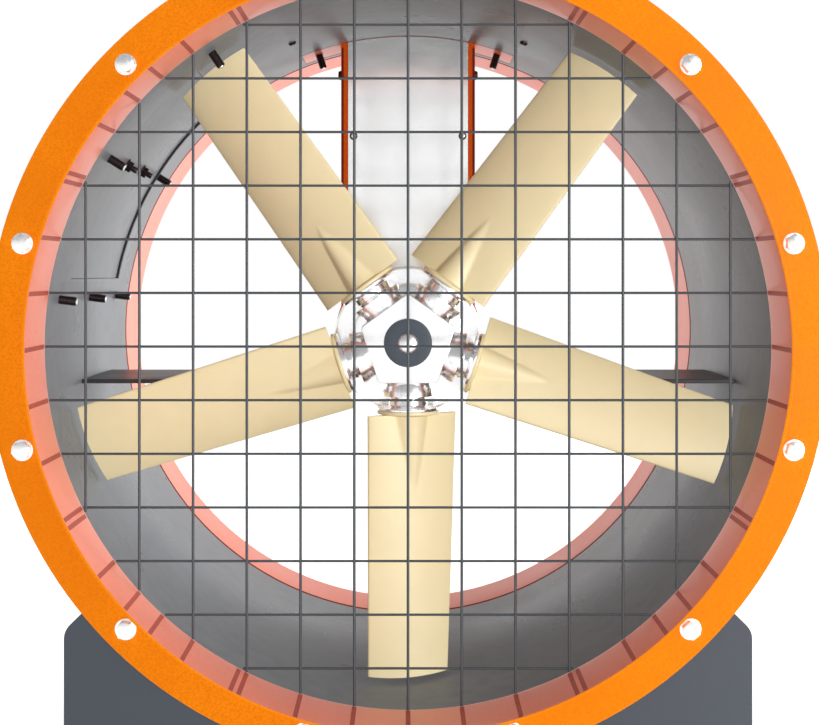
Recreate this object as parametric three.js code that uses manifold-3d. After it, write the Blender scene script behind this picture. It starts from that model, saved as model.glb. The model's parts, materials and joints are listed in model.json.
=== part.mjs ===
// Belt driven axial extractor fan for a round duct.
//
// Lengths are millimetres and angles are degrees. The fan axis runs along Y with the inlet facing -Y,
// and Z points up. The origin is on the floor under the middle of the fan. Everything is built in the
// fan's own frame, whose origin is on the fan axis, and the whole is then lifted by axisHeight.

import * as THREE from "three";
import { mergeVertices } from "three/addons/utils/BufferGeometryUtils.js";
import Module from "manifold-3d";

const wasm = await Module();
wasm.setup();

// Clearances

const fitGap = 0.3; // between pieces that touch or run in each other
const overrun = 6; // how far a cutting tool runs past what it cuts

// Duct casing

const ductBore = 630;
const casingWall = 3;
const flangeWidth = 47; // from the outside of the wall
const flangeSheet = 4;
const flangeBoltInset = 20; // from the edge of the flange
const inletCollar = 63;
const outletCollar = 76;
const flangeFloorHeight = 35; // from the floor to the lowest point of the flanges
const ringSegments = 48;

// Flange bolts

const flangeBoltCount = 12;
const flangeBoltSize = 10;
const flangeBoltHole = 11.6;
const flangeBoltHead = 18.5; // across the corners
const flangeBoltHeadHeight = 6.5;
const flangeNutHeight = 8;
const flangeBoltTip = 4;
const holeSegments = 6;
const hexSides = 6;

// Inlet guard

const guardWire = 2.4;
const guardPitch = 46.5;
const guardWeld = 0.4; // how deep crossing wires sink into each other
const guardWiresEachSide = 6;
const guardSetback = 2; // from the front face of the inlet flange to the middle of the guard

// Base

const cradleWidth = 600;
const cradleSheet = 4;
const cradleShoulder = 254; // below the fan axis
const cradleTop = 205; // below the fan axis
const cradleTopLand = 10; // width of the top beside the casing
const cradleCorner = 6;
const cradleFootDepth = 50;
const cradleReturn = 25;
const railSize = 40;
const railSheet = 3;
const railInset = 30; // from the side of the cradle
const rubberFootHeight = 15;
const rubberFootDiameter = 50;
const rubberFootTop = 44;
const footSegments = 16;

// Access cover in the left side of the casing

const hatchAngle = 148.6;
const hatchHalfAngle = 20.8;
const hatchLength = 206;
const hatchSetback = 77.5; // from the front face of the inlet flange to the opening
const coverSheet = 3;
const coverLapFront = 47.5;
const coverLapRear = 19.5;
const coverLapAngle = 7.7;
const plugFrontGap = 1.5;
const plugRearGap = 4.5;
const plugAngleGap = 0.3;
const handleReach = 35;
const handleGrip = 10;
const handleLength = 78;
const handleSegments = 8;

// Bearing plate and bearings

const bearingCentreHeight = 37.5;
const bearingPlateSheet = 4;
const bearingPlateDepth = 136;
const bearingPlateClearance = 2; // behind the impeller's rear disc
const bearingBaseWidth = 165;
const bearingBaseDepth = 48;
const bearingBaseHeight = 17;
const bearingHumpDiameter = 74;
const bearingHumpDepth = 38;
const bearingClearance = 4; // behind the impeller's boss
const rearBearingEdge = 2; // from the rear edge of the plate to the rear bearing
const bearingSegments = 20;

// Impeller

const impellerSetback = 92; // from the front face of the inlet flange to the blade axes
const bladeCount = 5;
const firstBladeAngle = 54; // seen from the inlet, counted from +X towards +Z
const shaftDiameter = 30;
const shaftSegments = 16;
const hubApothem = 37;
const hubFrontDepth = 24;
const hubSplit = 0.4;
const hubBodyDiameter = 104;
const hubBodyDepth = 29;
const hubDiscDiameter = 140;
const hubDiscDepth = 6;
const hubBossDiameter = 56;
const hubBossDepth = 12;
const hubSegments = 25;
const hubWasherDiameter = 44;
const hubWasherThickness = 4;
const hubBoltSize = 12;
const hubBoltThread = 12.8;
const hubBoltHead = 18;
const hubBoltHeadHeight = 9.4;
const hubBoltSocket = 10;
const hubBoltSocketDepth = 6;
const hubBoltReach = 24;

// Blade feet, clamped in the hub: radii and distances from the fan axis

const footHeadRadius = 16;
const footHeadStart = 24;
const footHeadThickness = 5.5;
const footStemRadius = 12;
const footBossRadius = 23.5;
const footBossThickness = 12.7;
const footGrooveRadius = 17;
const footGrooveWidth = 2;
const footNeckRadius = 18;
const footNeckLength = 8;
const footFlangeRadius = 28.5;
const footFlangeThickness = 5;
const bladeFootSegments = 12;

// Blades

const bladeTipRadius = 310;
const bladeDiscThickness = 4;
const bladeRootThickness = 9;
const bladeTipThickness = 5;
const bladeLeadingReach = 37; // width on the leading side of the blade axis, seen from the front
const bladeTrailingRoot = 44.7;
const bladeTrailingTip = 37;
const bladeRootPitch = 28;
const bladeTipPitch = 18;
const bladeCamberShare = 0.06; // of the chord
const bladeRibEnd = 134; // from the fan axis
const bladeRibRadius = 18;
const bladeRibTip = 4;
const bladeSections = 5;
const bladeChordSteps = 6;

// Belt drive

const drivenPulleyDiameter = 110;
const drivePulleyDiameter = 80;
const pulleyWidth = 35;
const beltSetback = 47.8; // from the rear of the bearing plate to the middle of the belts
const outletSetback = 48; // from the middle of the belts to the rear face of the outlet flange
const grooveSpacing = 15;
const beltTopWidth = 13;
const beltBottomWidth = 7.5;
const beltHeight = 8;
const grooveDepth = 9.5;
const beltArcSteps = 12;
const pulleySegments = 16;

// Belt housing

const housingHalfWidth = 71;
const housingDrumRadius = 76.5;
const housingDepth = 61;
const housingSheet = 2;
const housingLip = 21;
const panelInset = 7.3;
const panelSheet = 1.7;
const panelShaftHole = 34;
const housingArcSteps = 12;
const housingSlotHalfWidth = 112.6;
const housingSlotDepth = 62;

// Motor stand on top of the casing: places along the fan axis count from the middle of the stand

const standHalfAngle = 30;
const standSheet = 4;
const standToBelts = 126;
const standFront = 100;
const standRear = 164;
const standWebSpacing = 200;
const standRise = 12; // from the saddle to the top of the stand
const standFlangeWidth = 40;
const standFlangeRear = 70;
const studSize = 12;
const studOffset = 8; // from the middle of a web outwards
const studFront = 85;
const studRear = 55;
const studLength = 55;

// Motor: places along its axis count from the middle of the stand too

const motorPlateLift = 20.7; // from the top of the stand, room for the adjusting nuts
const motorPlateSheet = 6;
const motorPlateSideMargin = 14; // beside the studs
const motorPlateEndMargin = 20; // in front of the studs and behind them
const motorPlateHole = 13;
const motorFront = 115;
const motorRear = 55;
const motorShaftHeight = 90; // over the motor plate
const motorFinClearance = 2; // over the motor plate
const motorFinHeight = 12;
const motorFinCount = 24;
const motorFinShare = 0.35; // of the fin pitch
const motorBore = 88;
const motorEndWall = 10;
const motorLegSpacing = 105;
const motorLegThickness = 15;
const motorLegSink = 7; // how far the legs reach into the frame
const motorFootWidth = 50;
const motorFootHeight = 8;
const motorFootFront = 90;
const motorFootRear = 30;
const motorShieldLip = 4; // over the frame
const motorShieldDepth = 15;
const motorShieldBoss = 26;
const motorShieldBossDepth = 8;
const motorShaftDiameter = 24;
const motorSlotClearance = 6; // round the shaft in the front of the belt housing
const motorShaftFront = 150;
const motorShaftRear = 146;
const rotorCoreDiameter = 86;
const rotorCoreLength = 100;
const cowlSheet = 2;
const cowlLength = 60;
const cowlSlotCount = 8;
const cowlSlotWidth = 12;
const cowlSlotInner = 20;
const cowlSlotInset = 18; // from the outside of the cowl
const coolingFanInset = 13; // from the inside of the cowl
const coolingFanHub = 18;
const coolingFanWidth = 20;
const coolingFanFront = 160;
const coolingFanBlades = 7;
const coolingFanSheet = 3;
const coolingFanDisc = 4;
const motorSegments = 20;
const tensionDown = 12;
const tensionUp = 4;
const terminalPadWidth = 90;
const terminalPadDepth = 84;
const terminalPadRise = 2; // over the fins
const terminalBoxWidth = 96;
const terminalBoxDepth = 90;
const terminalBoxHeight = 40;
const terminalBoxSheet = 3;

// Materials: colour, roughness and metalness of each finish

const finishes = {
  orangePaint: [0xff8a14, 0.5, 0.1],
  casingGrey: [0x8f9497, 0.35, 0.5],
  slatePaint: [0x4d5660, 0.6, 0.1],
  guardWire: [0x4b555c, 0.4, 0.6],
  zincBolt: [0xe6e8ea, 0.25, 0.9],
  blackRubber: [0x1c1c1e, 0.85, 0],
  bladeNylon: [0xf4e3b8, 0.5, 0],
  polishedAluminium: [0xe4e4e6, 0.15, 1],
  darkSteel: [0x3c4146, 0.45, 0.8],
  castIron: [0x5a5f63, 0.6, 0.7],
  brightSteel: [0xc2c5c8, 0.25, 1],
  panelSheet: [0xb9bdc1, 0.25, 0.8],
  motorPaint: [0x4a6a85, 0.5, 0.2],
  blackPlastic: [0x26282b, 0.5, 0],
};

// Places along the fan axis that several pieces share

const boreRadius = ductBore / 2;
const wallRadius = boreRadius + casingWall;
const flangeRadius = wallRadius + flangeWidth;
const boltRadius = flangeRadius - flangeBoltInset;
const axisHeight = flangeRadius + flangeFloorHeight;
const hubDepth = hubSplit / 2 + hubBodyDepth + hubDiscDepth;
const bearingReach = hubDepth + bearingPlateClearance + bearingPlateDepth;
const driveLength = impellerSetback + bearingReach + beltSetback;
const casingLength = inletCollar + driveLength + outletSetback + outletCollar;
const frontEdge = -casingLength / 2;
const rearEdge = casingLength / 2;
const inletFace = frontEdge + inletCollar;
const outletFace = rearEdge - outletCollar;
const beltPlane = inletFace + driveLength;
const standMiddle = beltPlane - standToBelts;
const tubeFront = inletFace + flangeSheet + fitGap;
const tubeRear = outletFace - flangeSheet - fitGap;
const cradleFront = tubeFront + flangeSheet + fitGap;
const cradleRear = tubeRear - flangeSheet - fitGap;
const floorLevel = -axisHeight;
const cradleBottom = floorLevel + rubberFootHeight + fitGap;
const degree = Math.PI / 180;
const narrowBore = boreRadius * Math.cos(Math.PI / ringSegments); // in the middle of a facet
const innerFit = narrowBore - fitGap;
const outerFit = (wallRadius + fitGap) / Math.cos(Math.PI / ringSegments);
const hubPlane = inletFace + impellerSetback;
const hubBack = hubPlane + hubSplit / 2 + hubBodyDepth;
const bearingTop = -bearingCentreHeight;

// Heights above the fan axis and radii about the motor axis

const standInner = outerFit;
const standOuter = outerFit + standSheet;
const standHeight = standOuter + standRise;
const motorPlateHeight = standHeight + motorPlateLift;
const motorBottom = motorPlateHeight + motorPlateSheet + fitGap;
const pulleyCentres = motorBottom + motorShaftHeight;
const motorFinRadius = motorShaftHeight - motorFinClearance;
const motorFrameRadius = motorFinRadius - motorFinHeight;
const motorShieldRadius = motorFrameRadius + motorShieldLip;
const cowlRadius = motorShieldRadius;
const coolingFanRadius = cowlRadius - cowlSheet - coolingFanInset;
const terminalPadTop = motorFinRadius + terminalPadRise;

// Solids: three.js makes each shape, and manifold-3d joins and cuts them

function solid(geometry) {
  geometry.deleteAttribute("normal");
  geometry.deleteAttribute("uv");
  const merged = mergeVertices(geometry);
  return new wasm.Manifold(
    new wasm.Mesh({
      numProp: 3,
      vertProperties: merged.attributes.position.array,
      triVerts: Uint32Array.from(merged.index.array),
    }),
  );
}

function join(first, ...others) {
  return others.reduce((whole, part) => whole.add(part), first);
}

function cut(first, ...tools) {
  return tools.reduce((whole, tool) => whole.subtract(tool), first);
}

function shapeGeometry(body) {
  const { vertProperties, triVerts } = body.getMesh();
  const geometry = new THREE.BufferGeometry();
  geometry.setAttribute("position", new THREE.BufferAttribute(vertProperties, 3));
  geometry.setIndex(new THREE.BufferAttribute(triVerts, 1));
  geometry.computeVertexNormals();
  return geometry;
}

function piece(name, body, finish) {
  const [color, roughness, metalness] = finishes[finish];
  const material = new THREE.MeshStandardMaterial({ color, roughness, metalness });
  const geometry = body.isBufferGeometry ? body : shapeGeometry(body);
  const mesh = new THREE.Mesh(geometry, material);
  mesh.name = name;
  return mesh;
}

// A closed outline of [radius, y] points, turned about the fan axis
function turned(outline, segments) {
  const points = outline.map(([radius, y]) => new THREE.Vector2(radius, y));
  if (THREE.ShapeUtils.area(points) < 0) points.reverse();
  points.push(points[0].clone());
  return solid(new THREE.LatheGeometry(points, segments));
}

function rod(radius, yStart, yEnd, segments) {
  const outline = [[0, yStart], [radius, yStart], [radius, yEnd], [0, yEnd]];
  return turned(outline, segments);
}

function tube(inner, outer, yStart, yEnd, segments) {
  const outline = [[inner, yStart], [outer, yStart], [outer, yEnd], [inner, yEnd]];
  return turned(outline, segments);
}

// The same two, standing along Z
function upright(body) {
  return body.rotate([90, 0, 0]);
}

function block(x, y, z) {
  const geometry = new THREE.BoxGeometry(x[1] - x[0], y[1] - y[0], z[1] - z[0]);
  geometry.translate((x[0] + x[1]) / 2, (y[0] + y[1]) / 2, (z[0] + z[1]) / 2);
  return solid(geometry);
}

// A shape drawn in X and Z, given a depth along Y
function extruded(shape, yStart, yEnd, curveSegments) {
  const options = { depth: yEnd - yStart, bevelEnabled: false, curveSegments };
  const geometry = new THREE.ExtrudeGeometry(shape, options);
  geometry.rotateX(Math.PI / 2);
  geometry.translate(0, yEnd, 0);
  return solid(geometry);
}

// A piece of a ring about the fan axis, between two angles from +X towards +Z
function sector(inner, outer, yStart, yEnd, angle, halfAngle) {
  const start = (angle - halfAngle) * degree;
  const end = (angle + halfAngle) * degree;
  const shape = new THREE.Shape();
  shape.absarc(0, 0, outer, start, end, false);
  shape.absarc(0, 0, inner, end, start, true);
  shape.closePath();
  const steps = Math.ceil((2 * halfAngle * ringSegments) / 360);
  return extruded(shape, yStart, yEnd, steps);
}

// Where something faceted of this radius turns or fits inside a round hole
function holeAround(radius, segments) {
  return (radius + fitGap) / Math.cos(Math.PI / segments);
}

function placed(object, x, y, z) {
  object.position.set(x, y, z);
  return object;
}

function onCircle(radius, angle) {
  return [radius * Math.cos(angle * degree), radius * Math.sin(angle * degree)];
}

// Casing

function boltAngles() {
  const step = 360 / flangeBoltCount;
  return Array.from({ length: flangeBoltCount }, (_, index) => (index + 0.5) * step);
}

function boltHoles(yStart, yEnd) {
  return boltAngles().map((angle) => {
    const [x, z] = onCircle(boltRadius, angle);
    return rod(flangeBoltHole / 2, yStart - overrun, yEnd + overrun, holeSegments).translate([x, 0, z]);
  });
}

const hatchFront = inletFace + hatchSetback;
const hatchRear = hatchFront + hatchLength;
const slotRear = beltPlane + housingSlotDepth / 2;
const slotFront = beltPlane - housingSlotDepth / 2;

function casingTube() {
  const body = tube(boreRadius, wallRadius, tubeFront, tubeRear, ringSegments);
  const hatch = sector(
    boreRadius - overrun,
    wallRadius + overrun,
    hatchFront,
    hatchRear,
    hatchAngle,
    hatchHalfAngle,
  );
  const slot = block(
    [-housingSlotHalfWidth, housingSlotHalfWidth],
    [slotFront, slotRear],
    [boreRadius / 2, wallRadius + overrun],
  );
  return cut(body, hatch, slot);
}

// A flat ring round one end of the tube, which the collar's flange is bolted to
function casingFlange(front) {
  const rear = front + flangeSheet;
  return cut(tube(outerFit, flangeRadius, front, rear, ringSegments), ...boltHoles(front, rear));
}

// A flange with its collar: face is the duct side of the flange, edge the open end of the collar
function flangeRing(face, edge) {
  const back = face + Math.sign(face - edge) * flangeSheet;
  const body = turned(
    [
      [boreRadius, edge],
      [wallRadius, edge],
      [wallRadius, face],
      [flangeRadius, face],
      [flangeRadius, back],
      [boreRadius, back],
    ],
    ringSegments,
  );
  return cut(body, ...boltHoles(Math.min(face, back), Math.max(face, back)));
}

function flangeBolt(stack) {
  const shank = flangeBoltSize / 2;
  const head = flangeBoltHead / 2;
  const nut = stack + fitGap;
  return turned(
    [
      [0, -fitGap - flangeBoltHeadHeight],
      [head, -fitGap - flangeBoltHeadHeight],
      [head, -fitGap],
      [shank, -fitGap],
      [shank, nut],
      [head, nut],
      [head, nut + flangeNutHeight],
      [shank, nut + flangeNutHeight],
      [shank, nut + flangeNutHeight + flangeBoltTip],
      [0, nut + flangeNutHeight + flangeBoltTip],
    ],
    hexSides,
  );
}

const saddleRadius = outerFit + fitGap;
const saddleEdge = Math.sqrt(saddleRadius * saddleRadius - cradleTop * cradleTop);
const cradleTopHalfWidth = saddleEdge + cradleTopLand;

// The base plates take the bolts that pass below the fan axis and inside their width
function passesCradle(angle) {
  const [x, z] = onCircle(boltRadius, angle);
  const inside = Math.abs(x) < cradleTopHalfWidth && z < -cradleTop;
  return inside;
}

function casing() {
  const group = new THREE.Group();
  group.add(
    piece("casing_tube", casingTube(), "casingGrey"),
    piece("casing_flange_front", casingFlange(tubeFront), "casingGrey"),
    piece("casing_flange_rear", casingFlange(tubeRear - flangeSheet), "casingGrey"),
    piece("inlet_flange_ring", flangeRing(inletFace, frontEdge), "orangePaint"),
    piece("outlet_flange_ring", flangeRing(outletFace, rearEdge), "orangePaint"),
  );
  const plainBolt = shapeGeometry(flangeBolt(tubeFront + flangeSheet - inletFace));
  const cradleBolt = shapeGeometry(flangeBolt(cradleFront + cradleSheet - inletFace));
  boltAngles().forEach((angle, index) => {
    const [x, z] = onCircle(boltRadius, angle);
    const name = `flange_bolt_${String(index + 1).padStart(2, "0")}`;
    const geometry = passesCradle(angle) ? cradleBolt : plainBolt;
    group.add(placed(piece(name, geometry, "zincBolt"), x, inletFace, z));
  });
  return group;
}

// Inlet guard: two layers of wires welded where they cross

function guard() {
  const middle = inletFace + guardSetback;
  const half = guardWire / 2;
  const layer = half - guardWeld / 2;
  const wires = [];
  for (let index = -guardWiresEachSide; index <= guardWiresEachSide; index += 1) {
    const offset = index * guardPitch;
    const corner = Math.abs(offset) + half;
    const reach = Math.sqrt(innerFit * innerFit - corner * corner);
    const across = [offset - half, offset + half];
    const along = [-reach, reach];
    wires.push(block(across, [middle - layer - half, middle - layer + half], along));
    wires.push(block(along, [middle + layer - half, middle + layer + half], across));
  }
  return piece("inlet_guard", join(...wires), "guardWire");
}

// Base: two cradle plates, two rails and four rubber feet

function cradle(plate, inward) {
  const half = cradleWidth / 2;
  const saddleStart = Math.atan2(-cradleTop, -saddleEdge);
  const saddleEnd = Math.atan2(-cradleTop, saddleEdge);
  const shape = new THREE.Shape();
  shape.moveTo(-half, cradleBottom);
  shape.lineTo(half, cradleBottom);
  shape.lineTo(half, -cradleShoulder - cradleCorner);
  shape.lineTo(half - cradleCorner, -cradleShoulder + cradleCorner);
  shape.lineTo(cradleTopHalfWidth, -cradleTop);
  shape.lineTo(saddleEdge, -cradleTop);
  shape.absarc(0, 0, saddleRadius, saddleEnd, saddleStart, true);
  shape.lineTo(-cradleTopHalfWidth, -cradleTop);
  shape.lineTo(-half + cradleCorner, -cradleShoulder + cradleCorner);
  shape.lineTo(-half, -cradleShoulder - cradleCorner);
  shape.closePath();
  const low = Math.min(plate, plate + inward * cradleSheet);
  const high = Math.max(plate, plate + inward * cradleSheet);
  const arcSteps = Math.ceil(((saddleEnd - saddleStart) / degree) * (ringSegments / 360));
  const reach = (depth) => [Math.min(low, plate + inward * depth), Math.max(high, plate + inward * depth)];
  const foot = reach(cradleFootDepth);
  const side = reach(cradleReturn);
  const sideHeight = [cradleBottom, -cradleShoulder - cradleCorner];
  const body = join(
    extruded(shape, low, high, arcSteps),
    block([-half, half], foot, [cradleBottom, cradleBottom + cradleSheet]),
    block([-half, -half + cradleSheet], side, sideHeight),
    block([half - cradleSheet, half], side, sideHeight),
  );
  return cut(body, ...boltHoles(low, high));
}

function rail() {
  const low = cradleBottom + cradleSheet + fitGap;
  const inner = cradleFront + cradleSheet + fitGap;
  const outer = cradleRear - cradleSheet - fitGap;
  const half = railSize / 2;
  const body = block([-half, half], [inner, outer], [low, low + railSize]);
  const channel = block(
    [-half - overrun, half - railSheet],
    [inner - overrun, outer + overrun],
    [low + railSheet, low + railSize - railSheet],
  );
  return cut(body, channel);
}

function base() {
  const group = new THREE.Group();
  const railCentre = cradleWidth / 2 - railInset - railSize / 2;
  group.add(
    piece("cradle_front", cradle(cradleFront, 1), "slatePaint"),
    piece("cradle_rear", cradle(cradleRear, -1), "slatePaint"),
  );
  const right = placed(piece("base_rail_right", rail(), "slatePaint"), railCentre, 0, 0);
  const left = placed(piece("base_rail_left", rail().mirror([1, 0, 0]), "slatePaint"), -railCentre, 0, 0);
  group.add(right, left);
  const radii = [rubberFootTop / 2, rubberFootDiameter / 2];
  const rubber = new THREE.CylinderGeometry(...radii, rubberFootHeight, footSegments);
  rubber.rotateX(Math.PI / 2);
  const rubberFoot = shapeGeometry(solid(rubber));
  const footPlaces = [cradleFront + cradleFootDepth / 2, cradleRear - cradleFootDepth / 2];
  let count = 0;
  for (const side of [-1, 1]) {
    for (const y of footPlaces) {
      count += 1;
      const mesh = piece(`rubber_foot_${count}`, rubberFoot, "blackRubber");
      group.add(placed(mesh, side * railCentre, y, floorLevel + rubberFootHeight / 2));
    }
  }
  return group;
}

// Access cover: a curved sheet with a plug that fills the opening, a gasket round the plug and a handle

const coverOuter = outerFit + coverSheet;

function accessCover() {
  const sheet = sector(
    outerFit,
    coverOuter,
    hatchFront - coverLapFront,
    hatchRear + coverLapRear,
    hatchAngle,
    hatchHalfAngle + coverLapAngle,
  );
  const plug = sector(
    boreRadius,
    outerFit + coverSheet / 2,
    hatchFront + plugFrontGap,
    hatchRear - plugRearGap,
    hatchAngle,
    hatchHalfAngle - plugAngleGap,
  );
  return join(sheet, plug);
}

function accessGasket() {
  const gapAngle = (gap) => gap / boreRadius / degree;
  const frame = sector(
    boreRadius + fitGap,
    wallRadius - fitGap,
    hatchFront + fitGap,
    hatchRear - fitGap,
    hatchAngle,
    hatchHalfAngle - gapAngle(fitGap),
  );
  const middle = sector(
    boreRadius - overrun,
    wallRadius + overrun,
    hatchFront + plugFrontGap - fitGap,
    hatchRear - plugRearGap + fitGap,
    hatchAngle,
    hatchHalfAngle - plugAngleGap + gapAngle(fitGap),
  );
  return cut(frame, middle);
}

function accessHandle() {
  const middle = (hatchFront + hatchRear) / 2 - handleLength / 4;
  const grip = handleGrip / 2;
  const seat = coverOuter + fitGap;
  const top = seat + handleReach;
  const postLength = top - seat;
  const post = (y) => upright(rod(grip, 0, postLength, handleSegments)).translate([0, y, seat]);
  const front = middle - handleLength / 2;
  const rear = middle + handleLength / 2;
  const bar = rod(grip, front - grip, rear + grip, handleSegments).translate([0, 0, top - grip]);
  return join(bar, post(front), post(rear));
}

function access() {
  const group = new THREE.Group();
  group.add(
    piece("access_cover", accessCover(), "casingGrey"),
    piece("access_gasket", accessGasket(), "blackRubber"),
  );
  const handle = new THREE.Group();
  handle.rotation.y = (90 - hatchAngle) * degree;
  handle.add(piece("access_handle", accessHandle(), "blackPlastic"));
  group.add(handle);
  return group;
}

// Bearing plate across the casing and the two pillow blocks on it

const hubRear = hubBack + hubDiscDepth + hubBossDepth;
const bearingFrontMiddle = hubRear + bearingClearance + bearingBaseDepth / 2;
const plateRear = hubPlane + bearingReach;
const plateFront = plateRear - bearingPlateDepth;
const bearingRearMiddle = plateRear - rearBearingEdge - bearingBaseDepth / 2;

function bearingPlate() {
  const top = bearingTop - fitGap;
  const sheet = block([-boreRadius, boreRadius], [plateFront, plateRear], [top - bearingPlateSheet, top]);
  return sheet.intersect(rod(innerFit, plateFront - overrun, plateRear + overrun, ringSegments));
}

function pillowBlock() {
  const half = bearingBaseWidth / 2;
  const depth = bearingBaseDepth / 2;
  const hump = bearingHumpDiameter / 2;
  const humpDepth = bearingHumpDepth / 2;
  const floor = bearingTop;
  const body = join(
    block([-half, half], [-depth, depth], [floor, floor + bearingBaseHeight]),
    block([-hump, hump], [-humpDepth, humpDepth], [floor, 0]),
    rod(hump, -humpDepth, humpDepth, bearingSegments),
  );
  const bore = holeAround(shaftDiameter / 2, bearingSegments);
  const below = block([-half, half], [-depth, depth], [floor - hump, floor]);
  return cut(body, rod(bore, -depth - overrun, depth + overrun, bearingSegments), below);
}

function bearings() {
  const group = new THREE.Group();
  const front = piece("pillow_block_front", pillowBlock(), "castIron");
  const rear = piece("pillow_block_rear", pillowBlock(), "castIron");
  group.add(
    piece("bearing_plate", bearingPlate(), "darkSteel"),
    placed(front, 0, bearingFrontMiddle, 0),
    placed(rear, 0, bearingRearMiddle, 0),
  );
  return group;
}

// Impeller

const footHeadEnd = footHeadStart + footHeadThickness;
const footBossStart = hubApothem + fitGap;
const footBossEnd = footBossStart + footBossThickness;
const footNeckStart = footBossEnd + footGrooveWidth;
const footFlangeStart = footNeckStart + footNeckLength;
const footFlangeEnd = footFlangeStart + footFlangeThickness;
const bladeStart = footFlangeEnd + fitGap;
const hubFace = hubPlane - hubSplit / 2 - hubFrontDepth;
const shaftFront = hubFace + fitGap;
const shaftRear = beltPlane + pulleyWidth / 2 + 2 * housingSheet;

function bladeAngles() {
  return Array.from({ length: bladeCount }, (_, index) => firstBladeAngle + (index * 360) / bladeCount);
}

// Turns what stands along Z on the blade axis towards one blade's angle, and moves it to the hub plane
function towardsBlade(body, angle) {
  return body.rotate([0, 90 - angle, 0]).translate([0, hubPlane, 0]);
}

// The pocket that one blade foot turns in, open at its outer end
function footPocket() {
  const around = (radius) => holeAround(radius, bladeFootSegments);
  const outer = footFlangeEnd + overrun;
  const outline = [
    [0, footHeadStart - fitGap],
    [around(footHeadRadius), footHeadStart - fitGap],
    [around(footHeadRadius), footHeadEnd + fitGap],
    [around(footStemRadius), footHeadEnd + fitGap],
    [around(footStemRadius), hubApothem],
    [around(footBossRadius), hubApothem],
    [around(footBossRadius), outer],
    [0, outer],
  ];
  return standing(outline, bladeFootSegments);
}

// An outline of [radius, height] points turned about Z
function standing(outline, segments) {
  return upright(turned(outline, segments));
}

function hubFront() {
  const shape = new THREE.Shape();
  const corner = hubApothem / Math.cos(Math.PI / bladeCount);
  bladeAngles().forEach((angle, index) => {
    const [x, z] = onCircle(corner, angle + 180 / bladeCount);
    if (index === 0) shape.moveTo(x, z);
    else shape.lineTo(x, z);
  });
  shape.closePath();
  const rear = hubPlane - hubSplit / 2;
  const body = extruded(shape, hubFace, rear, 1);
  const bore = holeAround(shaftDiameter / 2, shaftSegments);
  const pockets = bladeAngles().map((angle) => towardsBlade(footPocket(), angle));
  return cut(body, rod(bore, hubFace - overrun, rear + overrun, shaftSegments), ...pockets);
}

function hubBackHalf() {
  const front = hubPlane + hubSplit / 2;
  const disc = hubBack + hubDiscDepth;
  const bore = holeAround(shaftDiameter / 2, shaftSegments);
  const body = turned(
    [
      [bore, front],
      [hubBodyDiameter / 2, front],
      [hubBodyDiameter / 2, hubBack],
      [hubDiscDiameter / 2, hubBack],
      [hubDiscDiameter / 2, disc],
      [hubBossDiameter / 2, disc],
      [hubBossDiameter / 2, hubRear],
      [bore, hubRear],
    ],
    hubSegments,
  );
  const pockets = bladeAngles().map((angle) => towardsBlade(footPocket(), angle));
  return cut(body, ...pockets);
}

function hubWasher() {
  const rear = hubFace - fitGap;
  return tube(hubBoltThread / 2, hubWasherDiameter / 2, rear - hubWasherThickness, rear, shaftSegments);
}

function hubBolt() {
  const seat = hubFace - 2 * fitGap - hubWasherThickness;
  const top = seat - hubBoltHeadHeight;
  const body = turned(
    [
      [0, top],
      [hubBoltHead / 2, top],
      [hubBoltHead / 2, seat],
      [hubBoltSize / 2, seat],
      [hubBoltSize / 2, shaftFront + hubBoltReach],
      [0, shaftFront + hubBoltReach],
    ],
    bladeFootSegments,
  );
  return cut(body, rod(hubBoltSocket / 2, top - overrun, top + hubBoltSocketDepth, hexSides));
}

function fanShaft() {
  const thread = hubBoltThread / 2;
  const radius = shaftDiameter / 2;
  const threadEnd = shaftFront + hubBoltReach + 2 * fitGap;
  return turned(
    [
      [0, threadEnd],
      [thread, threadEnd],
      [thread, shaftFront],
      [radius, shaftFront],
      [radius, shaftRear],
      [0, shaftRear],
    ],
    shaftSegments,
  );
}

function bladeFoot() {
  const outline = [
    [0, footHeadStart],
    [footHeadRadius, footHeadStart],
    [footHeadRadius, footHeadEnd],
    [footStemRadius, footHeadEnd],
    [footStemRadius, footBossStart],
    [footBossRadius, footBossStart],
    [footBossRadius, footBossEnd],
    [footGrooveRadius, footBossEnd],
    [footGrooveRadius, footNeckStart],
    [footNeckRadius, footNeckStart],
    [footNeckRadius, footFlangeStart],
    [footFlangeRadius, footFlangeStart],
    [footFlangeRadius, footFlangeEnd],
    [0, footFlangeEnd],
  ];
  return standing(outline, bladeFootSegments);
}

// One section of the blade at a distance from the fan axis: a closed ring of points, leading edge at +X
function bladeSection(share) {
  const mix = THREE.MathUtils.lerp;
  const start = bladeStart + bladeDiscThickness / 2;
  const height = mix(start, bladeTipRadius, share);
  const pitch = mix(bladeRootPitch, bladeTipPitch, share) * degree;
  const leading = bladeLeadingReach / Math.cos(pitch);
  const trailing = mix(bladeTrailingRoot, bladeTrailingTip, share) / Math.cos(pitch);
  const chord = leading + trailing;
  const thickness = mix(bladeRootThickness, bladeTipThickness, share);
  const camber = chord * bladeCamberShare;
  const edgeShare = 0.25; // of the thickness, at the leading and trailing edges
  const point = (along, side) => {
    const u = leading - along * chord;
    const arch = 4 * along * (1 - along);
    const body = edgeShare + (1 - edgeShare) * Math.sqrt(arch);
    const v = -camber * arch + (side * thickness * body) / 2;
    const x = u * Math.cos(pitch) + v * Math.sin(pitch);
    const y = -u * Math.sin(pitch) + v * Math.cos(pitch);
    const onTipCircle = Math.sqrt(height * height - x * x);
    return new THREE.Vector3(x, y, mix(height, onTipCircle, share));
  };
  const ring = [];
  for (let step = 0; step <= bladeChordSteps; step += 1) ring.push(point(step / bladeChordSteps, 1));
  for (let step = bladeChordSteps; step >= 0; step -= 1) ring.push(point(step / bladeChordSteps, -1));
  return ring;
}

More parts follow.
